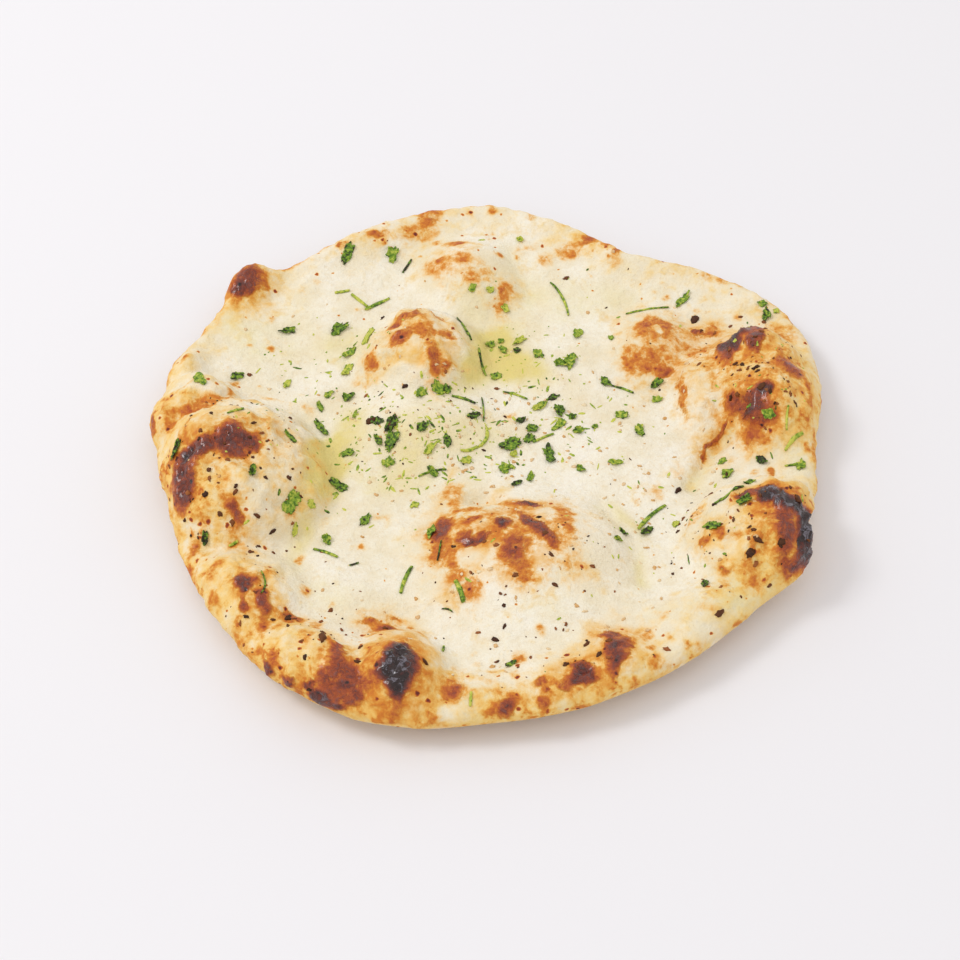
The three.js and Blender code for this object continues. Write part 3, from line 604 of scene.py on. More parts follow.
def mound_distance(x, y, mound):
    """The distance from a mound's middle, 1 at its foot."""
    mx, my, rx, ry, turn = mound[:5]
    c, s = math.cos(math.radians(turn)), math.sin(math.radians(turn))
    across = (x - mx) * c + (y - my) * s
    along = (y - my) * c - (x - mx) * s
    return np.hypot(across / rx, along / ry)


def pillow_height(x, y):
    height = np.zeros_like(x)
    for pillow in PILLOWS:
        height = smooth_max(height, pillow[5] * (1 - mound_distance(x, y, pillow) ** pillow[6]), PILLOW_BLEND)
    return height


def swelling_height(x, y):
    return sum(mound[5] * (1 - np.minimum(mound_distance(x, y, mound), 1) ** 2) ** 2 for mound in SWELLINGS)


def fold_depth(x, y):
    depth = np.zeros_like(x)
    for (ax, ay), (bx, by), deep, wide in FOLDS:
        length = math.hypot(bx - ax, by - ay)
        share = np.clip(((x - ax) * (bx - ax) + (y - ay) * (by - ay)) / length**2, 0, 1)
        apart = np.hypot(x - ax - share * (bx - ax), y - ay - share * (by - ay))
        depth = np.maximum(depth, deep * np.exp(-((apart / wide) ** 2)))
    return depth


def foot_radius(angle):
    """The distance from the middle to the outline of the flat foot, which has a corner on +X."""
    side = 2 * np.pi / FOOT_CORNERS
    return FOOT_RADIUS * math.cos(side / 2) / np.cos(angle % side - side / 2)


def bread_faces(angle, share):
    """Places and heights of the underside and the upper face at shares of the edge's radius."""
    radius = edge_radius(angle)
    x, y = share * radius * np.cos(angle), share * radius * np.sin(angle)
    foot = foot_radius(angle) / radius
    lift = around(EDGE_LIFT, angle) * np.maximum((share - foot) / (1 - foot), 0.0) ** LIFT_CURVE
    rim = smooth_step((share - RIM_START) / (1 - RIM_START))
    sheet = MIDDLE_THICKNESS + (around(EDGE_THICKNESS, angle) - MIDDLE_THICKNESS) * rim
    thick = sheet + pillow_height(x, y) + swelling_height(x, y) - fold_depth(x, y)
    depth = np.clip((1 - share) * radius / (EDGE_ROUNDING * thick * 0.5), 0, 1)
    half = thick / 2 * np.sqrt(1 - (1 - depth) ** 2)
    middle = lift + thick / 2
    return x, y, middle - half, middle + half


def lumps(points, size):
    """Smooth noise from about -1 to 1 at each point, with lumps of the given size in millimetres.

    A fixed amount added to the points gives another noise of the same kind."""
    return np.array([noise.noise(Vector(p) / size) for p in points])


def read_points(mesh):
    points = np.empty(len(mesh.vertices) * 3)
    mesh.vertices.foreach_get("co", points)
    return points.reshape(-1, 3)


def write_points(mesh, points):
    mesh.vertices.foreach_set("co", points.ravel())
    mesh.update()


def read_normals(mesh):
    normals = np.empty(len(mesh.vertices) * 3)
    mesh.vertex_normals.foreach_get("vector", normals)
    return normals.reshape(-1, 3)


def write_attribute(mesh, name, values):
    mesh.attributes.new(name, "FLOAT", "POINT").data.foreach_set("value", np.asarray(values, np.float32))


def finished(form, name):
    """The mesh of a form, which is then let go."""
    mesh = bpy.data.meshes.new(name)
    form.to_mesh(mesh)
    form.free()
    return mesh


def toned_form():
    """An empty form and the layer that holds the tone of its points."""
    form = bmesh.new()
    return form, form.verts.layers.float.new("tone")


def add_piece(name, mesh, material, smooth=True):
    """Puts a mesh in the scene as a piece of the bread."""
    mesh.materials.append(material)
    mesh.polygons.foreach_set("use_smooth", [smooth] * len(mesh.polygons))
    piece = bpy.data.objects.new(name, mesh)
    bpy.context.scene.collection.objects.link(piece)
    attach(piece, "root")
    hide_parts("naan")
    return piece


def add_form(name, form, material, smooth=True):
    """Puts a form in the scene as a piece of the bread."""
    return add_piece(name, finished(form, name), material, smooth)


class Draws:
    """Seeded draws from 0 to 1, the same on every run and in the solid's source."""

    def __init__(self, seed):
        self.state = seed

    def __call__(self, low=0.0, high=1.0):
        self.state = (self.state * 1664525 + 1013904223) % 2**32
        return low + (high - low) * self.state / 2**32


class Ground:
    """The finished bread's surface, for laying things on it. Places are in millimetres."""

    def __init__(self):
        bread = bpy.data.objects["naan_bread"]
        self.tree = BVHTree.FromObject(bread, bpy.context.evaluated_depsgraph_get())

    def below(self, x, y):
        """The point of the upper face over a place on the table and the normal there, or None."""
        hit, normal, _, _ = self.tree.ray_cast(Vector((x, y, 100)) * MM, Vector((0, 0, -1)))
        return (hit / MM, normal) if hit else None

    def seen(self, x, y):
        """The point of the bread that the eye sees at a point of the level plane, or None."""
        sight = Vector((x, y, SIGHT_LEVEL)) - EYE
        hit, normal, _, _ = self.tree.ray_cast(EYE * MM, sight.normalized())
        return (hit / MM, normal) if hit else None


def block_ball(cuts):
    """A ball whose faces are the even squares of a block."""
    form = bmesh.new()
    bmesh.ops.create_cube(form, size=2)
    bmesh.ops.subdivide_edges(form, edges=form.edges[:], cuts=cuts, use_grid_fill=True)
    mesh = finished(form, "naan_bread")
    points = np.tan(read_points(mesh) * math.pi / 4)
    write_points(mesh, points / np.linalg.norm(points, axis=1)[:, None])
    return mesh


def shape_bread(mesh, top_share, crowding):
    """Turns a ball into the bread: above a level it becomes the upper face, below it the underside."""
    ball = read_points(mesh)
    level = 1 - 2 * top_share
    z = np.clip(ball[:, 2], -1, 1)
    upper = z >= level
    spread = np.sqrt(np.where(upper, (1 - z) / (1 - level), (1 + z) / (1 + level)))
    share = 1 - (1 - np.clip(spread, 0, 1)) ** crowding
    x, y, under, top = bread_faces(np.arctan2(ball[:, 1], ball[:, 0]), share)
    points = np.stack([x, y, np.where(upper, top, under)], axis=1)
    write_points(mesh, points * MM)
    return points, share


def mark_distance(points, centre, half_length, half_width, turn):
    """The distance from a mark's middle over the surface, 1 at its edge."""
    c, s = math.cos(math.radians(turn)), math.sin(math.radians(turn))
    off = points - np.array(centre)
    across = off[:, 0] * c + off[:, 1] * s
    along = off[:, 1] * c - off[:, 0] * s
    rise = math.hypot(half_length * s, half_width * c)
    return np.sqrt((across / half_length) ** 2 + (along / half_width) ** 2 + (off[:, 2] / rise) ** 2)


def fading(distance, steep=4.2):
    """1 in the middle of a mark and a half at its edge."""
    return 1 / (1 + distance**steep)


def ragged(points, sway, size):
    """Points moved about a little, so that a mark worked out from them gets a ragged edge."""
    shifts = [lumps(points + offset, size) for offset in (0.0, 131.0, 277.0)]
    return points + sway * np.stack(shifts, axis=1)


def seen_marks(ground, points, marks):
    """The distance of the points from each mark that the eye sees, and the mark's own last value."""
    for x, y, half_length, half_width, turn, value in marks:
        seen = ground.seen(x, y)
        if seen:
            yield mark_distance(points, seen[0], half_length, half_width, turn), value


def scorch(ground, points):
    """How far each point is baked, from 0 for pale to 1.5 for black, and how warm its surroundings are."""
    torn = ragged(ragged(points, 2.4, 8.0), 1.2, 2.8)
    bake, glow = np.zeros(len(points)), np.zeros(len(points))
    for marks in SCORCH_AND_CREASE_SHADE_MARKS.values():
        for distance, dark in seen_marks(ground, torn, marks):
            bake += (dark * fading(distance, 4.2 + 5 * max(dark - 1, 0))) ** 3
            glow += (dark * fading(distance / 2.3, 3.0)) ** 3
    bake, glow = np.cbrt(bake), np.cbrt(glow)
    for distance, paleness in seen_marks(ground, torn, [(*island, 0.8) for island in PALE_ISLANDS]):
        bake -= paleness * fading(distance)
    return np.maximum(bake, 0), glow


def blisters(ground, points):
    """The strewn blisters of the rim: 0 between them and up to their darkness on their tops."""
    draw = Draws(BLISTER_SEED)
    torn = ragged(points, 1.0, 2.8)
    total = np.zeros(len(points))
    for _ in range(BLISTERS):
        angle, share = draw(0, 2 * math.pi), 0.70 + 0.28 * math.sqrt(draw())
        half = BLISTER_SIZE[0] + (BLISTER_SIZE[1] - BLISTER_SIZE[0]) * draw() ** 1.5
        dark = draw(*BLISTER_BAKE)
        radius = share * edge_radius(np.array([angle]))[0]
        under = ground.below(radius * math.cos(angle), radius * math.sin(angle))
        if under:
            distance = mark_distance(torn, under[0], half, half * draw(0.55, 1), draw(0, 180))
            total = np.maximum(total, dark * fading(distance, 3.4))
    return total


def butter(ground, points):
    """How much butter tint each point gets: melted butter, and painted shade in hollows, folds and on sides
    turned from the light.
    """
    torn = ragged(points, 4.0, 14.0)
    total = np.zeros(len(points))
    for distance, strength in seen_marks(ground, torn, BUTTER_AND_SHADE_POOLS):
        total = smooth_max(total, strength * fading(distance, 3.0), 0.3)
    # The folds get the butter tint as painted shade.
    folds = fold_depth(points[:, 0], points[:, 1]) / 3
    return np.clip(total + 0.15 * folds, 0, 1)


def dents(ground, points):
    """How deep the dents go at each point."""
    total = np.zeros(len(points))
    for distance, deep in seen_marks(ground, points, DENTS):
        total += deep * (1 - np.minimum(distance, 1) ** 2) ** 2
    return total


def ridges(points, size):
    """Wrinkles from -1 to 1: sharp crests of the given spacing."""
    return 1 - 3.2 * np.abs(lumps(ragged(points, 2.5, size * 1.3), size))


def underside_scorch(points):
    """Seeded spots of the plain underside."""
    draw = Draws(UNDER_SEED)
    torn = ragged(points, 2.5, 9.0)
    total = np.full(len(points), UNDER_BAKE_CUBED)
    for _ in range(UNDER_SPOTS):
        angle, out = draw(0, 2 * math.pi), UNDER_RADIUS * math.sqrt(draw())
        centre = (out * math.cos(angle), out * math.sin(angle), 1.5)
        half = draw(*UNDER_SPOT_SIZE)
        distance = mark_distance(torn, centre, half, half * draw(0.5, 1), draw(0, 180))
        total += (draw(*UNDER_SPOT_BAKE) * fading(distance)) ** 3
    return np.cbrt(total)


def edge_browning(points, share):
    """How far the very edge is baked: in patches, and a little less at the right."""
    strength, size = EDGE_BAKE_PATCHES
    browned = EDGE_BAKE - EDGE_BAKE_SLOPE * np.clip(points[:, 0] / 100, -1, 1)
    browned = browned + strength * lumps(points + 11.0, size)
    return np.maximum(smooth_step((share - EDGE_BAKE_START) / EDGE_BAKE_WIDTH) * browned, 0)


def tanning(points, normals, share):
    """How tanned each point is: towards the rim, on its steep side and on the pillows."""
    rim = smooth_step((share - 0.72) / 0.28)
    steep = 1 - np.clip(normals[:, 2], 0, 1)
    blown = np.clip(pillow_height(points[:, 0], points[:, 1]) / 10, 0, 1)
    return np.clip(0.45 * rim + 0.55 * rim * steep + 0.3 * blown, 0, 1)


def crust_material(settings):
    """Baked dough: cream, gold, brown and char, with butter that also paints shade, fine mottling that partly
    paints shade, ash that partly paints sheen, freckles and a pored relief.
    """
    crust = Shader("crust", {"Specular IOR Level": 0.12, "Coat Roughness": 0.16})
    broad = crust.noise(22, 2.0)
    patchy = crust.noise(9, 3.0, 0.6, 0.25)
    middling = crust.noise(4.2, 4.0, 0.62, 0.25)
    fine = crust.noise(1.4, 3.0, 0.6)
    grit = crust.noise(0.55, 2.0)
    bake = crust.attribute("bake")
    glow = crust.attribute("glow")
    butter_and_shade_share = crust.attribute("butter")
    tan = crust.attribute("tan")

    # Pale dough, with flour, butter that also paints shade in hollows and on sides turned from the light,
    # gold on the warm places and small curds.
    floury = (broad * 0.5 + patchy * 0.3 + middling * 0.4).ramp(0.50, 0.68)
    dough = crust.mix(floury, tuple(settings.dough), tuple(settings.flour))
    soaked_and_shaded = (butter_and_shade_share * (middling * 0.9 + patchy * 0.5 + 0.3)).ramp(0.06, 0.75)
    dough = crust.mix(soaked_and_shaded * 0.9, dough, tuple(settings.butter))
    heat = tan * 0.9 + glow * 0.45
    patches = (patchy - 0.5) * 2.8 + (middling - 0.5) * 1.5
    golden = (heat * 0.9 + patches * 0.6).ramp(0.22, 1.15) * 0.85
    dough = crust.mix(golden, dough, tuple(settings.gold))
    # Darker fine mottling, partly painted shade: the first part darkens the low places of the fine bump
    # relief, the second adds tan curds in patches.
    curd_and_pit_shade = (fine * 0.65 + grit * 0.35).ramp(0.60, 0.38) * 0.16
    curd_and_pit_shade = curd_and_pit_shade + (patchy * 0.5 + fine * 0.5).ramp(0.52, 0.64) * 0.3
    dough = crust.mix(curd_and_pit_shade, dough, (0.72, 0.50, 0.22))

    # How far each place is toasted, from gold at 0 over brown to char at 1.5.
    freckles = spots(crust, 3.2, 0.86 - heat.least(1.0) * 0.20, fine) * 0.75
    torn = ((middling - 0.5) * 1.3 + (fine - 0.5) * 0.5) * (bake * 1.4).least(0.85)
    toasting = (heat * 0.6 + patches * heat.least(1.0) - 0.60).most(0.0).least(0.6) * 0.75
    halo = (glow + patches * 0.35 - 0.35).most(0.0) * 0.36
    level = (bake**1.5 * 0.78).most(halo.most(toasting)) + torn + freckles
    stops = [
        (0.00, tuple(settings.gold)),
        (0.16, (0.80, 0.42, 0.066)),
        (0.30, (0.64, 0.215, 0.030)),
        (0.45, (0.44, 0.092, 0.024)),
        (0.62, (0.24, 0.047, 0.024)),
        (0.78, (0.11, 0.028, 0.022)),
        (0.96, tuple(settings.char)),
    ]
    # Streaks in the charred places, and ash that is partly painted sheen, greyer and bluer where the char is
    # darkest.
    streaks = crust.noise(2.6, 4.0, 0.62, 1.2)
    level = level + (streaks - 0.5) * (bake - 0.5).most(0.0).least(0.6) * 1.6
    toast = crust.node("ShaderNodeValToRGB", {"stops": stops}, {0: level / 1.5}, "Color")
    ash_and_sheen_colour = crust.mix((bake - 1.1).most(0.0) * 2.5, (0.25, 0.14, 0.13), (0.34, 0.31, 0.38))
    ash_and_sheen = streaks.ramp(0.52, 0.64) * (bake - 0.80).most(0.0).least(0.6)
    toast = crust.mix(ash_and_sheen, toast, ash_and_sheen_colour)
    crust.feed("Base Color", crust.mix(level.ramp(0.0, 0.42), dough, toast))

    # Gloss and relief.
    burnt = (bake - 0.6).most(0.0).least(0.7)
    crust.feed("Roughness", 0.6 - soaked_and_shaded * 0.16 - burnt * 0.3 + (fine - 0.5) * 0.2)
    crust.feed("Coat Weight", burnt * streaks * 2.2 + soaked_and_shaded * 0.25)
    crinkle = streaks * burnt * 4.5
    cells = {"Vector": crust.place(), "Scale": 1 / (2.4 * MM)}
    pores = crust.node("ShaderNodeTexVoronoi", None, cells, "Distance")
    relief = middling * 0.9 + fine * 0.4 + grit * 0.1 + crinkle + pores.least(0.35) * 0.4
    crust.feed("Normal", crust.bump(relief, 0.9))
    return crust.material


def spots(crust, spacing, rarity, unevenness):
    """Round spots of uneven size, 1 in their middles. Rarity is the share of places that have none."""
    place = crust.swayed(spacing * 0.16, spacing * 0.7)
    cells = {"Vector": place, "Scale": 1 / (spacing * MM), "Randomness": 0.9}
    apart = crust.node("ShaderNodeTexVoronoi", None, cells, "Distance")
    picks = crust.node("ShaderNodeTexVoronoi", None, cells, "Color")
    picked = crust.node("ShaderNodeSeparateColor", None, {0: picks}, "Red")
    size = ((picked - rarity).most(0.0) * 1.4).least(0.3)
    return (size + 0.02 - apart * (unevenness * 1.3 + 0.35)).ramp(-0.02, 0.22)


def herb_material(settings):
    """Chopped coriander, from nearly black to lime, by the tone of each piece."""
    herb = Shader("coriander", {"Roughness": 0.45, "Specular IOR Level": 0.25})
    tone = herb.attribute("tone") + (herb.noise(1.1, 3.0, 0.6) - 0.5) * 2.4
    stops = [
        (0.0, (0.035, 0.032, 0.012)),
        (0.20, tuple(settings.leaf_dark)),
        (0.50, tuple(settings.leaf_green)),
        (0.95, tuple(settings.leaf_lime)),
    ]
    herb.feed("Base Color", herb.node("ShaderNodeValToRGB", {"stops": stops}, {0: tone}, "Color"))
    herb.feed("Normal", herb.bump(herb.noise(0.9, 3.0) * 0.35))
    return herb.material


def crumb_material(name, dark, light, roughness):
    """Seeds, burnt crumbs and garlic, between two colours by the tone of each piece."""
    crumb = Shader(name, {"Roughness": roughness, "Specular IOR Level": 0.2})
    tone = crumb.attribute("tone") + (crumb.noise(0.9, 2.0) - 0.5) * 0.4
    crumb.feed("Base Color", crumb.mix(tone, dark, light))
    crumb.feed("Normal", crumb.bump(crumb.noise(0.6, 2.0) * 0.25))
    return crumb.material


def crust_relief(points, share, bake):
    """How far the fine relief of the upper face stands out at each point."""
    blown = np.clip(pillow_height(points[:, 0], points[:, 1]) / 8, 0, 1)
    charred = np.clip(bake - 0.7, 0, 0.6) / 0.6
    edge = smooth_step((share - 0.93) / 0.07)
    relief = np.zeros(len(points))
    for size, stand in CRUST_RELIEF:
        relief += stand * lumps(points, size)
    for size, stand in PILLOW_WRINKLES:
        relief += stand * blown * ridges(points + 23.0, size)
    for size, stand in CHAR_RELIEF:
        relief += stand * charred * ridges(points + 57.0, size)
    for size, stand in EDGE_RELIEF:
        relief += stand * edge * lumps(points + 91.0, size)
    return relief


class NAAN_OT_bread(bpy.types.Operator):
    """Shape the bread and bake its crust"""

    bl_idname = "naan.bread"
    bl_label = "Bread"

    def execute(self, context):
        settings = context.scene.naan_bread
        mesh = block_ball(settings.cuts)
        points, share = shape_bread(mesh, settings.top_share, settings.crowding)
        bread = add_piece("naan_bread", mesh, crust_material(settings))
        if bread.name != "naan_bread":
            raise RuntimeError("the bread was already made")
        context.view_layer.update()
        ground = Ground()
        normals = read_normals(mesh)
        facing_up = smooth_step((normals[:, 2] + 0.55) / 0.45)
        seen_bake, glow = scorch(ground, points)
        strewn = blisters(ground, points)
        seen_bake = np.cbrt(seen_bake**3 + edge_browning(points, share) ** 3 + strewn**3)
        bake = seen_bake * facing_up + underside_scorch(points) * (1 - facing_up)
        relief = crust_relief(points, share, bake) + BLISTER_STAND * strewn - dents(ground, points)
        write_points(mesh, (points + normals * (relief * facing_up)[:, None]) * MM)
        write_attribute(mesh, "bake", bake)
        write_attribute(mesh, "glow", glow * facing_up)
        # The butter tint, also painted shade in hollows, folds and on sides turned from the light.
        write_attribute(mesh, "butter", butter(ground, points) * facing_up)
        write_attribute(mesh, "tan", tanning(points, normals, share))
        return {"FINISHED"}


def grid_leaf(form, tone_layer, ground, centre, length, width, turn, tone, draw):
    """One torn leaf piece: a lobed, wavy blade laid on the bread."""
    grown = bmesh.ops.create_grid(form, x_segments=13, y_segments=9, size=1)["verts"]
    c, s = math.cos(math.radians(turn)), math.sin(math.radians(turn))
    lobes, phase, wave, curl = 2 + int(4 * draw()), draw(*SPIN), draw(*SPIN), draw(0.2, 1.1)
    for vert in grown:
        u, v = vert.co.x, vert.co.y
        disc = Vector((u * math.sqrt(1 - v * v / 2), v * math.sqrt(1 - u * u / 2)))
        angle = math.atan2(disc.y, disc.x)
        lobe = abs(math.sin(0.5 * lobes * angle + phase)) ** 0.8
        torn = noise.noise(Vector((3.4 * math.cos(angle), 3.4 * math.sin(angle), 9 * phase)))
        notch = 0.62 + 0.32 * lobe + 0.42 * torn
        across, along = 0.46 * length * disc.x * notch, 0.46 * width * disc.y * notch
        x, y = centre[0] + across * c - along * s, centre[1] + across * s + along * c
        under = ground.below(x, y)
        z = under[0].z if under else centre[2]
        ripple = 0.3 * math.sin(1.7 * across + wave) * math.cos(1.9 * along - wave)
        lift = 0.45 + ripple + curl * disc.length_squared**1.5 * (0.6 + 0.4 * math.sin(2 * angle + wave))
        vert.co = Vector((x, y, z + lift)) * MM
        vert[tone_layer] = tone + 0.16 * disc.length_squared * math.sin(3 * angle + wave)


class NAAN_OT_coriander_leaves(bpy.types.Operator):
    """Lay the coriander leaf pieces on the bread"""

    bl_idname = "naan.coriander_leaves"
    bl_label = "Coriander Leaves"

    def execute(self, context):
        settings = context.scene.naan_toppings
        ground, draw = Ground(), Draws(LEAF_SEED)
        form, tone_layer = toned_form()
        for x, y, length, width, turn, tone in LEAVES:
            seen = ground.seen(x, y)
            if seen:
                grid_leaf(form, tone_layer, ground, seen[0], length, width, turn, tone, draw)
        for x, y, length, width, turn in strewn_leaves():
            under = ground.below(x, y)
            if under:
                grid_leaf(form, tone_layer, ground, under[0], length, width, turn, draw(0.1, 0.7), draw)
        piece = add_form("coriander_leaves", form, herb_material(settings))
        solid = piece.modifiers.new("thickness", "SOLIDIFY")
        solid.thickness = settings.leaf_thickness
        solid.offset = -1
        return {"FINISHED"}


def strewn_leaves():
    """The leaf pieces spread evenly over their patches by turns of the golden angle."""
    draw = Draws(STREWN_SEED)
    golden = math.pi * (3 - math.sqrt(5))
    for x, y, rx, ry, pieces in STREWN:
        for i in range(pieces):
            out = math.sqrt((i + draw()) / pieces)
            length = draw(*STREWN_LENGTH)
            width = length * draw(*STREWN_SLIMNESS)
            across, along = rx * out * math.cos(golden * i), ry * out * math.sin(golden * i)
            yield x + across, y + along, length, width, 360 * draw()


class NAAN_OT_coriander_stems(bpy.types.Operator):
    """Lay the cut coriander stems on the bread"""

    bl_idname = "naan.coriander_stems"
    bl_label = "Coriander Stems"

    def execute(self, context):
        settings = context.scene.naan_toppings
        ground = Ground()
        form, tone_layer = toned_form()
        for x, y, length, width, turn, bend, tone in STEMS:
            seen = ground.seen(x, y)
            if seen:
                self.stem(form, tone_layer, ground, seen[0], length, width, turn, bend, tone)
        add_form("coriander_stems", form, herb_material(settings))
        return {"FINISHED"}

    @staticmethod
    def stem(form, tone_layer, ground, centre, length, width, turn, bend, tone):
        """One flattened tube that follows the bread and bends sideways."""
        before = len(form.verts)
        on_side = Matrix.Rotation(math.pi / 2, 4, "Y")
        size = {"radius1": 1, "radius2": 1, "depth": 2}
        tube = bmesh.ops.create_cone(form, cap_ends=True, segments=8, matrix=on_side, **size)
        edges = {edge for vert in tube["verts"] for edge in vert.link_edges}
        long_edges = [edge for edge in edges if abs(edge.verts[0].co.x - edge.verts[1].co.x) > 1]
        bmesh.ops.subdivide_edges(form, edges=long_edges, cuts=7)
        form.verts.ensure_lookup_table()
        c, s = math.cos(math.radians(turn)), math.sin(math.radians(turn))
        for vert in form.verts[before:]:
            end = vert.co.x
            slim = 1 - 0.3 * end * end + 0.28 * noise.noise(Vector((3 * end, turn, 0.3 * length)))
            across = 0.5 * length * end
            along = 0.38 * width * slim * vert.co.y + bend * 0.5 * length * (1 - end * end)
            x, y = centre[0] + across * c - along * s, centre[1] + across * s + along * c
            under = ground.below(x, y)
            z = under[0].z if under else centre[2]
            thick = min(0.4 * width, 0.42) * slim
            vert.co = Vector((x, y, z + thick * (0.7 + vert.co.z) + 0.25 * end * end)) * MM
            vert[tone_layer] = tone + 0.2 * math.sin(3 * end + turn)


def scatter(ground, patches, total, draw):
    """Places and normals of fine pieces, drawn patch by patch and denser towards each middle."""
    for x, y, rx, ry, share in patches:
        for _ in range(round(total * share / 100)):
            angle, out = draw(0, 2 * math.pi), draw() ** 0.65
            under = ground.below(x + rx * out * math.cos(angle), y + ry * out * math.sin(angle))
            if under and under[1].z > 0.25:
                yield under


def lay_down(verts, spot, normal, spin, scale):
    """Turns a shape's flat side to the bread, and scales it to its half sizes in millimetres."""
    turn = normal.to_track_quat("Z", "Y").to_matrix() @ Matrix.Rotation(spin, 3, "Z")
    for vert in verts:
        vert.co = (spot + turn @ Vector(a * b for a, b in zip(vert.co, scale))) * MM


class NAAN_OT_green_bits(bpy.types.Operator):
    """Strew the finely chopped coriander"""

    bl_idname = "naan.green_bits"
    bl_label = "Green Bits"

    def execute(self, context):
        settings = context.scene.naan_toppings
        ground, draw = Ground(), Draws(BITS_SEED)
        form, tone_layer = toned_form()
        for spot, normal in scatter(ground, GREEN_PATCHES, settings.green_bits, draw):
            bit = bmesh.ops.create_icosphere(form, subdivisions=1, radius=1)["verts"]
            long, tone = 0.35 + 1.8 * draw() ** 2, draw(0.2, 1.2)
            slim = draw(0.4, 1.0) / (0.6 + long)
            for vert in bit:
                vert.co *= draw(0.7, 1.25)
                vert[tone_layer] = tone
            lay_down(bit, spot, normal, draw(*SPIN), (long, long * slim, 0.22))
        add_form("coriander_bits", form, herb_material(settings), smooth=False)
        return {"FINISHED"}


class NAAN_OT_seeds(bpy.types.Operator):
    """Strew the dark seeds and burnt crumbs"""

    bl_idname = "naan.seeds"
    bl_label = "Dark Seeds"

    def execute(self, context):
        settings = context.scene.naan_toppings
        ground, draw = Ground(), Draws(CRUMB_SEED)
        form, tone_layer = toned_form()
        crumbs = [(ground.seen(x, y), half, draw(0, 0.35)) for x, y, half in LARGE_CRUMBS]
        strewn = scatter(ground, SEED_PATCHES, settings.seeds, draw)
        crumbs += [(under, 0.3 + 0.9 * draw() ** 2.2, draw() ** 1.3) for under in strewn]
        for under, long, tone in crumbs:
            seed = bmesh.ops.create_icosphere(form, subdivisions=2, radius=1)["verts"]
            slim = draw(0.4, 0.85)
            for vert in seed:
                vert.co *= 1 + 0.8 * noise.noise(vert.co * 1.5 + under[0])
                vert[tone_layer] = tone
            lay_down(seed, under[0], under[1], draw(*SPIN), (long, long * slim, min(long * 0.5, 0.8)))
        colours = (0.042, 0.017, 0.009), (0.34, 0.11, 0.03)
        add_form("dark_seeds", form, crumb_material("seed", *colours, 0.6))
        return {"FINISHED"}


class NAAN_OT_garlic(bpy.types.Operator):
    """Strew the bits of garlic"""

    bl_idname = "naan.garlic"
    bl_label = "Garlic"

    def execute(self, context):
        settings = context.scene.naan_toppings
        ground, draw = Ground(), Draws(GARLIC_SEED)
        form, tone_layer = toned_form()
        for spot, normal in scatter(ground, GARLIC_PATCHES, settings.garlic, draw):
            bit = bmesh.ops.create_icosphere(form, subdivisions=2, radius=1)["verts"]
            long, slim, tone = draw(0.35, 1.0), draw(0.4, 0.9), draw()
            for vert in bit:
                vert.co *= 1 + 0.7 * noise.noise(vert.co * 1.6 + spot)
                vert[tone_layer] = tone
            lay_down(bit, spot, normal, draw(*SPIN), (long, long * slim, long * 0.4))
        colours = (0.66, 0.36, 0.12), (0.86, 0.72, 0.48)
        add_form("garlic", form, crumb_material("garlic", *colours, 0.5))
        return {"FINISHED"}


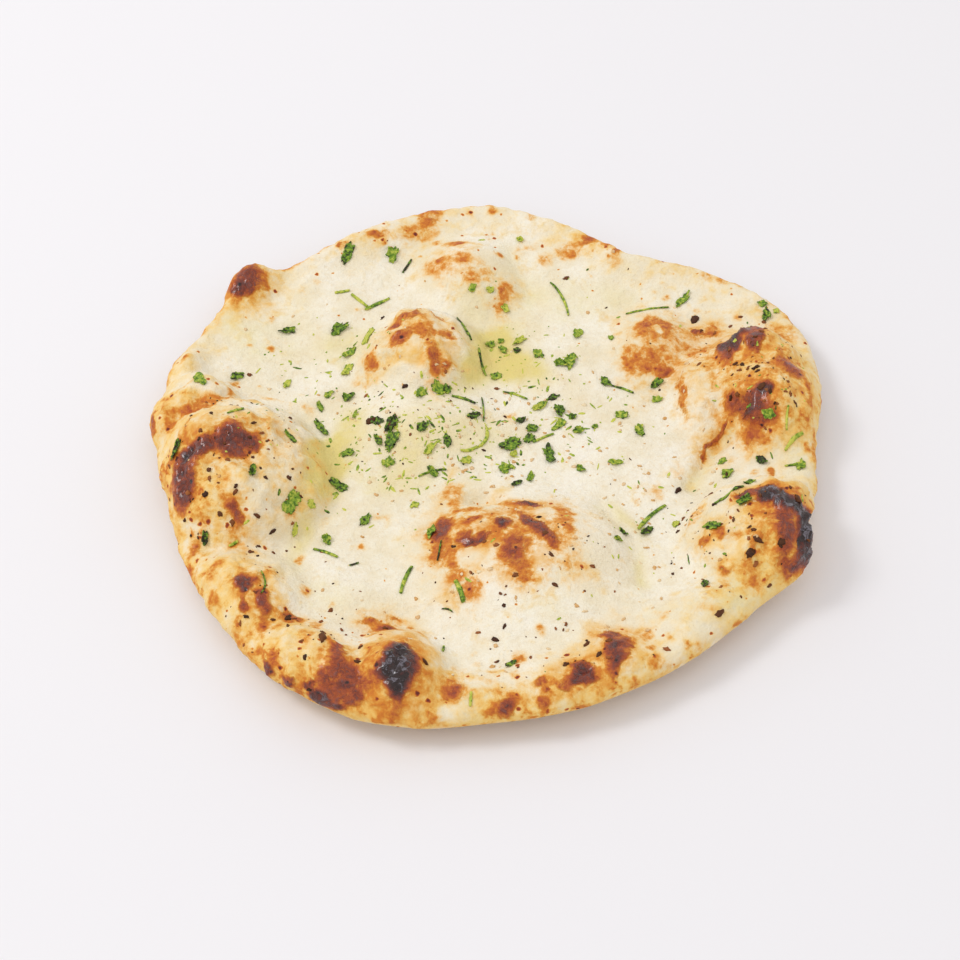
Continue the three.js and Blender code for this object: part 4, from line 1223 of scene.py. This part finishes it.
class NAAN_OT_stage(bpy.types.Operator):
    """Set the floor, the lights and the camera"""

    bl_idname = "naan.stage"
    bl_label = "Stage"

    def execute(self, context):
        settings = context.scene.naan_stage
        self.floor(context, settings)
        self.lights(context, settings)
        self.camera(context, settings)
        context.scene.view_settings.view_transform = "Standard"
        return {"FINISHED"}

    @staticmethod
    def floor(context, settings):
        form = bmesh.new()
        just_under = Matrix.Translation((0, 0, -0.1 * MM))
        bmesh.ops.create_grid(form, x_segments=1, y_segments=1, size=FLOOR_HALF, matrix=just_under)
        mesh = finished(form, "floor")
        paint = Shader("floor", {"Roughness": 0.9, "Base Color": (*settings.floor, 1.0)})
        mesh.materials.append(paint.material)
        floor = bpy.data.objects.new("floor", mesh)
        context.scene.collection.objects.link(floor)

    @staticmethod
    def lights(context, settings):
        key = bpy.data.lights.new("key", "AREA")
        key.energy = settings.key_power
        key.size = KEY_SIZE
        lamp = bpy.data.objects.new("key", key)
        lamp.location = KEY_PLACE
        lamp.rotation_euler = (-Vector(lamp.location)).to_track_quat("-Z", "Y").to_euler()
        context.scene.collection.objects.link(lamp)
        world = bpy.data.worlds.new("sky")
        world.use_nodes = True
        sky = world.node_tree.nodes["Background"]
        sky.inputs["Color"].default_value = SKY_COLOUR
        sky.inputs["Strength"].default_value = settings.sky
        context.scene.world = world

    @staticmethod
    def camera(context, settings):
        lens = bpy.data.cameras.new("camera")
        lens.lens = settings.lens
        lens.sensor_width = 36
        camera = bpy.data.objects.new("camera", lens)
        camera.location = EYE * MM
        camera.rotation_euler = (math.pi / 2 - settings.look_down, 0, 0)
        context.scene.collection.objects.link(camera)
        context.scene.camera = camera


class NAAN_PT_panel(bpy.types.Panel):
    """Settings and steps of the naan"""

    bl_label = "Naan"
    bl_idname = "NAAN_PT_panel"
    bl_space_type = "VIEW_3D"
    bl_region_type = "UI"
    bl_category = "Naan"

    def draw(self, context):
        for group in (context.scene.naan_bread, context.scene.naan_toppings, context.scene.naan_stage):
            box = self.layout.box()
            for name in group.__annotations__:
                box.prop(group, name)
        for operator in OPERATORS:
            self.layout.operator(operator.bl_idname)


OPERATORS = (
    NAAN_OT_stage,
    NAAN_OT_bread,
    NAAN_OT_coriander_leaves,
    NAAN_OT_coriander_stems,
    NAAN_OT_green_bits,
    NAAN_OT_seeds,
    NAAN_OT_garlic,
)
CLASSES = (NaanBreadSettings, NaanToppingSettings, NaanStageSettings, *OPERATORS, NAAN_PT_panel)


def register():
    for cls in CLASSES:
        bpy.utils.register_class(cls)
    bpy.types.Scene.naan_bread = PointerProperty(type=NaanBreadSettings)
    bpy.types.Scene.naan_toppings = PointerProperty(type=NaanToppingSettings)
    bpy.types.Scene.naan_stage = PointerProperty(type=NaanStageSettings)


def unregister():
    del bpy.types.Scene.naan_stage
    del bpy.types.Scene.naan_toppings
    del bpy.types.Scene.naan_bread
    for cls in reversed(CLASSES):
        bpy.utils.unregister_class(cls)


def main():
    register()
    bpy.ops.naan.stage()
    bpy.ops.naan.bread()
    bpy.ops.naan.coriander_leaves()
    bpy.ops.naan.coriander_stems()
    bpy.ops.naan.green_bits()
    bpy.ops.naan.seeds()
    bpy.ops.naan.garlic()


if __name__ == "__main__":
    main()
